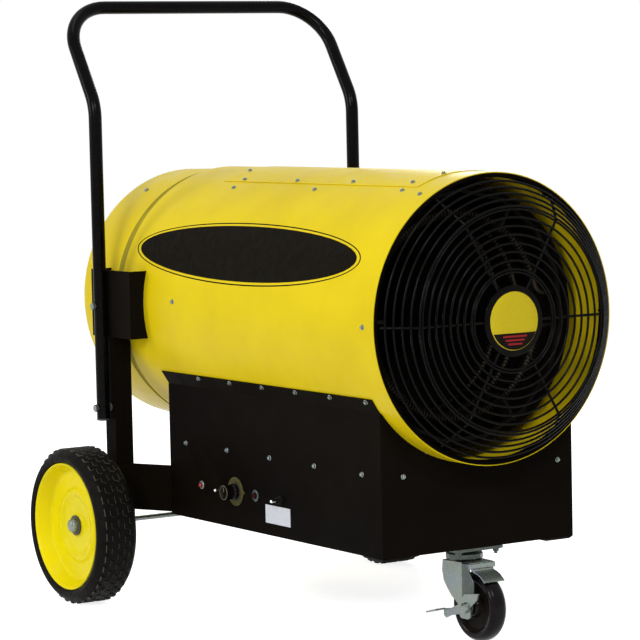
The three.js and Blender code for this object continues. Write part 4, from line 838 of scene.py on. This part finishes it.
def make_motor():
    """Rolled-steel motor shell with dished ends, and the fan's shaft."""
    front, back = high("motor_housing").x, low("motor_housing").x
    r = 82 * MM
    profile = [
        (0, back), (r * 0.6, back), (r * 0.94, back + 14 * MM), (r, back + 30 * MM), (r, front - 26 * MM),
        (r * 0.9, front - 8 * MM), (r * 0.35, front), (8.4 * MM, front), (8.4 * MM, front - 30 * MM),
        (0, front - 30 * MM),
    ]
    turned_piece("motor_shell", profile, DRUM_AXIS, X, MOTOR_GREY, "chassis", ["motor_housing"], 96, 3 * MM)
    start, end = low("fan_shaft").x, high("fan_shaft").x
    shaft = [(0, start), (8 * MM, start), (8 * MM, end), (0, end)]
    turned_piece("motor_shaft", shaft, DRUM_AXIS, X, ZINC, "fan", ["fan_shaft"], 32, 0.8 * MM)


# ---------------------------------------------------------------------------------------------------------
# Controls on the near panel

OUT = -Y  # outward from the near panel


def control_place(node):
    place = middle(node)
    return Vector((place.x, NEAR_PANEL, place.z))


def control(name, node, profile, material, body="chassis", facets=48, soft=0.25):
    """A control turned round its own axis; heights are counted outward from the panel."""
    place = control_place(node)
    return turned_piece(name, in_mm(profile), place, OUT, material, body, [node], facets, soft * MM)


def make_controls():
    control("pilot_collar", "pilot_bezel", [
        (4.7, -12), (6, -12), (6, 0.3), (8, 0.3), (8, 2.5), (7, 3.5), (4.7, 3.5)], ZINC)
    control("pilot_jewel", "pilot_lens", [
        (0, -11), (4.4, -11), (4.4, 4.5), (3.8, 6.6), (2.4, 7.9), (0, 8.3)], LENS, soft=0.6)
    for job in ("power", "fan"):
        switch, lever, body = f"{job}_switch", f"{job}_toggle", f"{job}_lever"
        control(f"{lever}_bat", lever, [
            (0, -0.2), (2.4, 0.6), (3.4, 3), (2.2, 5.6), (1.9, 9), (3, 20), (2, 22.8), (0, 23.4)],
            CHROME, body, soft=0.9)
        bm = bmesh.new()
        place = Vector((middle(lever).x, NEAR_PANEL, middle(lever).z))
        turn(bm, softened(rectangle(4, -3.3, 6, 8), 0.4 * MM), place, OUT, 40)
        turn(bm, in_mm([(5.5, 0.3), (8.6, 0.3), (8.6, 2.6), (8.2, 3), (5.5, 3)]), place, OUT, 6)
        for k in range(5):  # the bush's thread, drawn coarser than it is
            centre = place + OUT * (4.5 + 1.3 * k) * MM
            thread = [centre + ray(angle, X, Z) * 6 * MM for angle in circle_angles(32)]
            sweep(bm, thread, 0.28 * MM, 5, closed=True)
        inner, outer = -26 * MM, -2.3 * MM
        extrude(bm, rectangle(-11, -8, 11, 8), place + OUT * inner, X, Z, outer - inner)
        finish_piece(f"{switch}_body", bm, DARK_STEEL, "chassis", [switch])
    make_thermostat()
    control("reset_collar", "reset_bezel", [
        (0, -16), (9.5, -16), (9.5, -2.3), (8, -2.3), (8, 0.3), (11, 0.3), (11, 3), (9.5, 4), (6, 4),
        (6, -12), (0, -12)], DARK_ZINC)
    control("reset_cap", "reset_button", [
        (0, -8), (5.6, -8), (5.6, 6.5), (4.6, 7.5), (0, 7.2)], RESET_RED, "reset", soft=0.5)


def make_thermostat():
    """Olive dial ring with faint ticks and a pointer tip; a ribbed knob with a ring let into its face."""
    place = control_place("thermostat_knob")
    dial = control("dial_face", "thermostat_dial", [
        (0, -16), (6, -16), (6, 0.5), (27, 0.5), (27, 1.5), (26.4, 1.8), (17.5, 1.8), (17.2, 1.7), (3.4, 1.7),
        (3.4, -15), (0, -15)], OLIVE, soft=0)
    # the dial's centre out to 17.3 mm in black nylon: under the knob, and round its foot a thin dark ring of
    # painted shadow
    second_finish(dial, NYLON, lambda c: (c - place).xz.length < 17.3 * MM)
    bm = bmesh.new()
    for i in range(11):
        long = i % 5 == 0
        arm = ray(radians(225 - 27 * i), X, Z)
        side = OUT.cross(arm)
        reach, half = (20.5, 0.5) if long else (22.5, 0.3)
        extrude(bm, rectangle(reach, -half, 25.5, half), place + OUT * 1.75 * MM, arm, side, 0.15 * MM)
    finish_piece("dial_ticks", bm, TICK_GREY)
    bm = bmesh.new()
    extrude(bm, in_mm([(26, -4.5), (33.5, 0), (26, 4.5)]), place + OUT * 0.35 * MM, X, Z, 1.2 * MM)
    finish_piece("dial_pointer", bm, OLIVE)
    bm = bmesh.new()
    profile = [
        (0, -14), (3, -14), (3, 3.3), (15, 3.3), (15, 8), (13.2, 11.3), (13, 26.5), (12.4, 27.3), (10, 27.3),
        (9.6, 26.5), (0, 26.5),
    ]
    turn(bm, softened(in_mm(profile), 0.5 * MM), place, OUT, 64)
    for angle in circle_angles(24):
        foot = place + ray(angle, X, Z) * 13.1 * MM
        sweep(bm, [foot + OUT * 11 * MM, foot + OUT * 25.6 * MM], 0.8 * MM, 6)
    finish_piece("thermostat_grip", bm, PHENOLIC, "knob", ["thermostat_knob"])
    bm = bmesh.new()
    turn(bm, in_mm([(12.4, 27.1), (13.6, 27.1), (13.6, 27.5), (12.4, 27.8)]), place, OUT, 64)
    extrude(bm, rectangle(-0.9, 1, 0.9, 9.4), place + OUT * 26.4 * MM, X, Z, 0.9 * MM)
    finish_piece("thermostat_ring", bm, TICK_GREY, "knob")


def make_tag():
    """A blank white tag under the second switch."""
    bm = bmesh.new()
    left, right, bottom, top = behind(431), behind(348), 190 * MM, 223.5 * MM
    extrude(bm, [(left, bottom), (right, bottom), (right, top), (left, top)],
            Vector((0, NEAR_PANEL - 0.3 * MM, 0)), X, Z, 1.2 * MM)
    finish_piece("white_tag", bm, TAG_WHITE)


# ---------------------------------------------------------------------------------------------------------
# Frame, wheels and caster

def make_handle():
    bm = bmesh.new()
    radius = 12.7 * MM
    box_low, box_high = low("push_handle"), high("push_handle")
    x = box_high.x - radius
    y = box_high.y - radius
    bend = Vector((x, y, 958.7 * MM))
    top_x, top_z = box_low.x + radius, box_high.z - radius
    corners = [(x, -y, box_low.z), (x, -y, bend.z), (top_x, -y, top_z), (top_x, y, top_z), (x, y, bend.z),
               (x, y, box_low.z)]
    path = round_path(corners, [90 * MM, 95 * MM, 95 * MM, 90 * MM])
    sweep(bm, path, radius, 32)
    finish_piece("handle_tube", bm, WIRE, "chassis", ["push_handle"], 40)
    for side in (-1, 1):
        foot = Vector((x, side * y, box_low.z))
        turned_piece(f"handle_plug_{'near' if side < 0 else 'far'}",
                     in_mm([(0, -4), (11, -4), (12.9, -2.5), (12.9, 0.2), (0, 0.2)]),
                     foot, Z, NYLON, "chassis", (), 40, 0.8 * MM)


RIM_R, TYRE_HALF = 122.5, 42.8  # the rear wheels' rim radius and half the tyre's width, mm


def make_wheel(side, body):
    node = f"tyre_{side}"
    centre = middle(node)
    out = Y if centre.y > 0 else -Y
    radius = centre.z
    half, rim = TYRE_HALF * MM, RIM_R * MM
    tread = radius - 1.5 * MM
    carcass = [
        (rim + FIT, half - 6 * MM), (rim + 5 * MM, half - 1.5 * MM), (rim + 12 * MM, half),
        (tread - 10 * MM, half - 2.5 * MM), (tread - 2.5 * MM, half - 10 * MM), (tread, half - 18 * MM),
    ]
    profile = carcass + [(r, -h) for r, h in reversed(carcass)]
    bm = bmesh.new()
    turn(bm, softened(profile, 9 * MM, 6), centre, out, 128)
    rows, pitches = 5, 40
    for row in range(rows):
        for i in range(pitches):
            stray = sin(12.9 * i + 78.2 * row)  # keeps the blocks from standing in line
            angle = 2 * pi * (i + 0.5 * (row % 2) + 0.12 * stray) / pitches
            offset = ((row - (rows - 1) / 2) * 12.4 + 1.3 * sin(37.7 * i + 11.3 * row)) * MM
            tread_block(bm, centre, out, angle, offset, tread, radius, stray)
    rubber = finish_piece(f"tyre_{side}_rubber", bm, RUBBER, body, [node], 30)
    # the tyre's second material: painted glints on the tread blocks' walls
    rubber.data.materials.append(PAINTED_GLINT_RUBBER)
    make_rim(side, body, centre, out)


def tread_block(bm, centre, out, angle, offset, floor, top, stray):
    """One low block of the tread, standing from the carcass to the wheel's full radius."""
    arm = ray(angle, Z, X)
    along = X * cos(angle) - Z * sin(angle)
    long, wide = (6.4 + 1.4 * stray) * MM, (4.3 - 0.8 * stray) * MM
    slant = 2.4 * MM * stray
    corners = []
    for height, shrink in ((floor - 1.5 * MM, 1.0), (top, 0.86)):
        for u, v in ((-1, -1), (1, -1), (1, 1), (-1, 1)):
            spot = arm * height + along * (u * long * shrink + v * slant) + out * (offset + v * wide * shrink)
            corners.append(bm.verts.new(centre + spot))
    lower, upper = corners[:4], corners[4:]
    bm.faces.new(upper)
    bm.faces.new(list(reversed(lower)))
    for k in range(4):
        wall = bm.faces.new([lower[k], lower[(k + 1) % 4], upper[(k + 1) % 4], upper[k]])
        # two walls of each block take the lighter rubber: painted glints along the blocks' edges
        wall.material_index = 1 if k in (1, 2) else 0


def make_rim(side, body, centre, out):
    """Pressed steel disc wheel with its cap nut and washer: rolled lip, dished face with a raised ring, hub.
    Sizes in millimetres."""
    rim, wall, hub_face = RIM_R, 3, 14
    web, edge = hub_face - 4, TYRE_HALF - 4
    profile = [
        (5.4, -43.8), (16, -43.8), (16, web - wall), (rim - 26, web - wall), (rim - wall, 4 - edge),
        (rim - wall, -edge), (rim, -edge), (rim, edge), (rim - 2.2, edge + 1.2), (rim - wall - 2, edge - 3),
        (rim - 15, web + 2), (rim - 24, web), (rim * 0.60, web), (rim * 0.56, web + 4), (rim * 0.50, web + 5),
        (rim * 0.42, web), (24, web), (17, hub_face), (5.4, hub_face),
    ]
    turned_piece(f"rim_{side}_disc", in_mm(profile), centre, out, RIM_YELLOW, body, [f"wheel_rim_{side}"],
                 128, 3 * MM)
    seat = centre + out * (hub_face * MM + FIT)
    dome = [(0, 0), (18, 0), (18, 2), (14, 2.4), (14, 8), (12.4, 11.5), (9, 14.4), (4.5, 15.8), (0, 16)]
    turned_piece(f"cap_nut_{side}_dome", in_mm(dome), seat, out, ZINC, "chassis", [f"cap_nut_{side}"],
                 64, 0.8 * MM)
    bm = bmesh.new()
    turn(bm, in_mm([(14.3, -0.1), (19.5, -0.1), (19.5, 2.6), (18, 3.2), (14.3, 2.8)]), seat, out, 64)
    # the dark washer ring round the cap nut stands partly for painted shadow at the nut's foot
    finish_piece(f"hub_washer_{side}", bm, NYLON)


def make_axle():
    centre = Vector((middle("rear_axle").x, 0, middle("rear_axle").z))
    end = high("rear_axle").y
    half = in_mm([(5, 283.3), (9, 283.3), (9, 312.3), (5, 312.3)]) + [(5 * MM, end)]  # with its collar
    profile = [(0, -end)] + [(r, -y) for r, y in reversed(half)] + half + [(0, end)]
    turned_piece("axle_rod", profile, centre, Y, ZINC, "chassis", ["rear_axle"], 32, 0.5 * MM)


def make_caster_wheel():
    """Glossy moulded wheel: rounded tread, a deep recess on each side and a hub that stands out of it."""
    radius, half = CASTER_CENTRE.z / MM, 17.5
    right = [
        (6.4, 21), (14, 21), (17, 17), (20, half - 9), (radius - 22, half - 10), (radius - 16, half - 1.5),
        (radius - 7, half), (radius - 1.5, half - 7), (radius, half - 14),
    ]
    profile = in_mm(right + [(r, -h) for r, h in reversed(right)])
    wheel = turned_piece("caster_tread_wheel", profile, CASTER_CENTRE, Y, PHENOLIC, "front_wheel",
                         ["caster_wheel"], 96, 3 * MM)
    deep, web_edge = (half - 3) * MM, (radius - 15.5) * MM
    # the recesses on each side in near-black: painted shade
    second_finish(wheel, BADGE_BLACK_AND_RECESS_SHADE, lambda c: abs(c.y) < deep and (c - CASTER_CENTRE).xz.length < web_edge)


def make_fork():
    """Pressed fork: on each side a flat panel ahead of the crease and a flared one behind it, the crown and
    the brake's bracket; and the brake's shoe. A height of 0 in an outline stands for the crown's top."""
    top = high("caster_fork").z
    outer, wall, crease, back, flare = 27 * MM, 3 * MM, 28 * MM, -22 * MM, 6 * MM
    rear_outline = [
        (28, 54), (28, 0), (-22, 0), (-24, 121), (-20, 104), (-11, 91), (0, 78), (12, 69), (20, 61),
    ]
    front_outline = [
        (49, 0), (50, 124), (63, 109), (63, 94), (60, 70), (57, 55), (50, 48), (38, 48), (28, 54), (28, 0),
    ]
    panels = {"back": bmesh.new(), "front": bmesh.new()}
    for side in (-1, 1):
        start = -outer + wall if side < 0 else outer
        origin = SWIVEL + Vector((crease, start, 0))
        lean = Vector((crease - back, -side * flare, 0)).normalized()
        for name, outline, right in (("back", rear_outline, lean), ("front", front_outline, X)):
            points = [((x * MM - crease), z * MM if z else top) for x, z in outline]
            extrude(panels[name], points, origin, right, Z, wall)
    hole, split = 6.5 * MM, 0.01 * MM  # the kingpin's hole, and the seam between the crown's two halves
    for side in (-1, 1):
        angles = [pi * k / 12 for k in range(13)]
        notch = [(-hole * cos(a), side * max(hole * sin(a), split)) for a in angles]
        half_crown = [(back, side * split), *notch, (49 * MM, side * split), (49 * MM, side * outer),
                      (back, side * outer)]
        extrude(panels["back"], half_crown, SWIVEL + Z * (top - wall), X, Y, wall)
    # the bracket ends above the wheel's tread
    bracket = in_mm([(44, -1.5), (53.5, -1.5), (53.5, -10.5), (51, -10.5), (51, -4), (44, -4)])
    extrude(panels["back"], bracket, SWIVEL + Vector((0, 29 * MM, top)), X, Z, 58 * MM)
    fork = finish_piece("caster_fork_panels", panels["back"], ZINC, "caster_yoke", ["caster_fork"])
    round_edges(fork, 0.8)
    # the front panels take the darker zinc: painted shade ahead of the crease
    front = finish_piece("caster_fork_front", panels["front"], DARK_ZINC, "caster_yoke")
    round_edges(front, 0.8)
    shoe = [
        (55, 131), (57.5, 131), (58, 128), (66, 126), (77, 121.8), (89.6, 112.4), (88, 110.2), (76, 119.2),
        (66, 123.3), (55, 125),
    ]
    bm = bmesh.new()
    extrude(bm, in_mm(shoe), SWIVEL + Y * 22 * MM, X, Z, 44 * MM)
    round_edges(finish_piece("brake_shoe_plate", bm, ZINC, "shoe", ["brake_shoe"]), 0.6)


def make_caster_bolts():
    """A bolt's end with its nut and washer at each corner of the caster's plate."""
    plate_low, plate_high = low("caster_plate"), high("caster_plate")
    inset, thickness = 9 * MM, 5 * MM
    bm = bmesh.new()
    for x in (plate_low.x + inset, plate_high.x - inset):
        for y in (plate_low.y + inset, plate_high.y - inset):
            foot = Vector((x, y, plate_high.z - thickness))
            washer = rectangle(0, -0.2, 7.5, 1.2)
            nut = softened(rectangle(0, 1, 5.8, 5.8), 0.6 * MM)
            thread_end = in_mm([(0, 5.5), (3, 5.5), (3, 9.5), (2.4, 10), (0, 10)])
            for profile, facets in ((washer, 32), (nut, 6), (thread_end, 20)):
                turn(bm, profile, foot, -Z, facets)
    # the bolts in the darker zinc: painted shade under the cabinet
    finish_piece("caster_plate_bolts", bm, DARK_ZINC)


# ---------------------------------------------------------------------------------------------------------
# Everything, the studio and the camera

def make_studio():
    bm = bmesh.new()
    size = 30
    corners = [(-size, -size, 0), (size, -size, 0), (size, size, 0), (-size, size, 0)]
    bm.faces.new([bm.verts.new(Vector(corner)) for corner in corners])
    mesh = bpy.data.meshes.new("floor")
    bm.to_mesh(mesh)
    bm.free()
    mesh.materials.append(studio_paper("white_paper"))
    floor = add_object("floor", mesh)
    world = bpy.data.worlds.new("studio")
    world.use_nodes = True
    tree = world.node_tree
    tree.nodes.clear()
    room = add(tree, "Background", {"Color": linear("#F2F4F6"), "Strength": 0.22}).outputs[0]
    white = add(tree, "Background", {"Color": linear("#FFFFFF"), "Strength": 1.0}).outputs[0]
    mixed = add(tree, "MixShader", {0: seen_or_mirrored(tree), 1: room, 2: white}).outputs[0]
    add(tree, "OutputWorld", {"Surface": mixed})
    bpy.context.scene.world = world
    soft_box("key", (2.4, -3.8, 2.6), 1.0, 82)
    soft_box("side", (-2.2, -4.4, 1.8), 1.4, 60)
    soft_box("overhead", (-0.6, -0.6, 4.4), 1.6, 24)
    soft_box("outlet_fill", (3.4, -0.9, 3.0), 0.7, 48)
    soft_box("rear", (-3.2, 3.2, 2.6), 1.4, 60)


def soft_box(name, place, size, power):
    """A square soft box aimed at the drum."""
    light = bpy.data.lights.new(name, "AREA")
    light.size = size
    light.energy = power
    lamp = add_object(name, light)
    lamp.location = place
    lamp.rotation_euler = (DRUM_AXIS - Vector(place)).to_track_quat("-Z", "Y").to_euler()


def make_camera():
    """The photograph's view: its direction, roll, distance and lens."""
    azimuth, elevation, roll = radians(56.84), radians(4.63), radians(-1.25)
    level = cos(elevation)
    back = Vector((sin(azimuth) * level, -cos(azimuth) * level, sin(elevation)))
    right = Vector((cos(azimuth), sin(azimuth), 0))
    up = back.cross(right)
    rolled_right = right * cos(roll) + up * sin(roll)
    rolled_up = up * cos(roll) - right * sin(roll)
    camera = bpy.data.cameras.new("camera")
    camera.sensor_width = 36
    camera.lens = 162.36
    camera.clip_end = 100
    seat = add_object("camera", camera)
    place = Vector((FRONT + 4.02786, -2.99477, 0.98632))
    turned = Matrix((rolled_right, rolled_up, back)).transposed().to_4x4()
    seat.matrix_world = Matrix.Translation(place) @ turned
    bpy.context.scene.camera = seat


def dress_cad_nodes():
    for node in ("cabinet_side_near", "cabinet_side_far", "cabinet_front", "cabinet_rear", "cabinet_floor",
                 "saddle_near", "saddle_far", "cabinet_arm_near", "cabinet_arm_far", "leg_near", "leg_far",
                 "motor_mount"):
        dress(node, BLACK, 0.6)
    # the caster's plate in the darker zinc: painted shade under the cabinet
    dress("caster_plate", DARK_ZINC, 0.5)
    for node in ("wiring_baffle", "caster_axle", "brake_lever",
                 "upper_bolt_near", "upper_bolt_far", "lower_bolt_near", "lower_bolt_far"):
        dress(node, ZINC, 0.5)
    # the element rack in near-black: painted shade deep inside the drum
    dress("element_rack", DARK_STEEL)
    dress("contactor", NYLON, 0.8)
    dress("cable_gland", NYLON, 0.5)


make_camera()
make_studio()
dress_cad_nodes()
make_drum()
make_top_cover()
make_side_mark()
make_screws()
make_outlet_guard()
make_badge()
make_inlet_guard()
make_elements()
make_fan()
make_motor()
make_controls()
make_tag()
make_handle()
make_wheel("near", "near_wheel")
make_wheel("far", "far_wheel")
make_axle()
make_caster_wheel()
make_fork()
make_caster_bolts()

bpy.context.scene.view_settings.view_transform = "Standard"
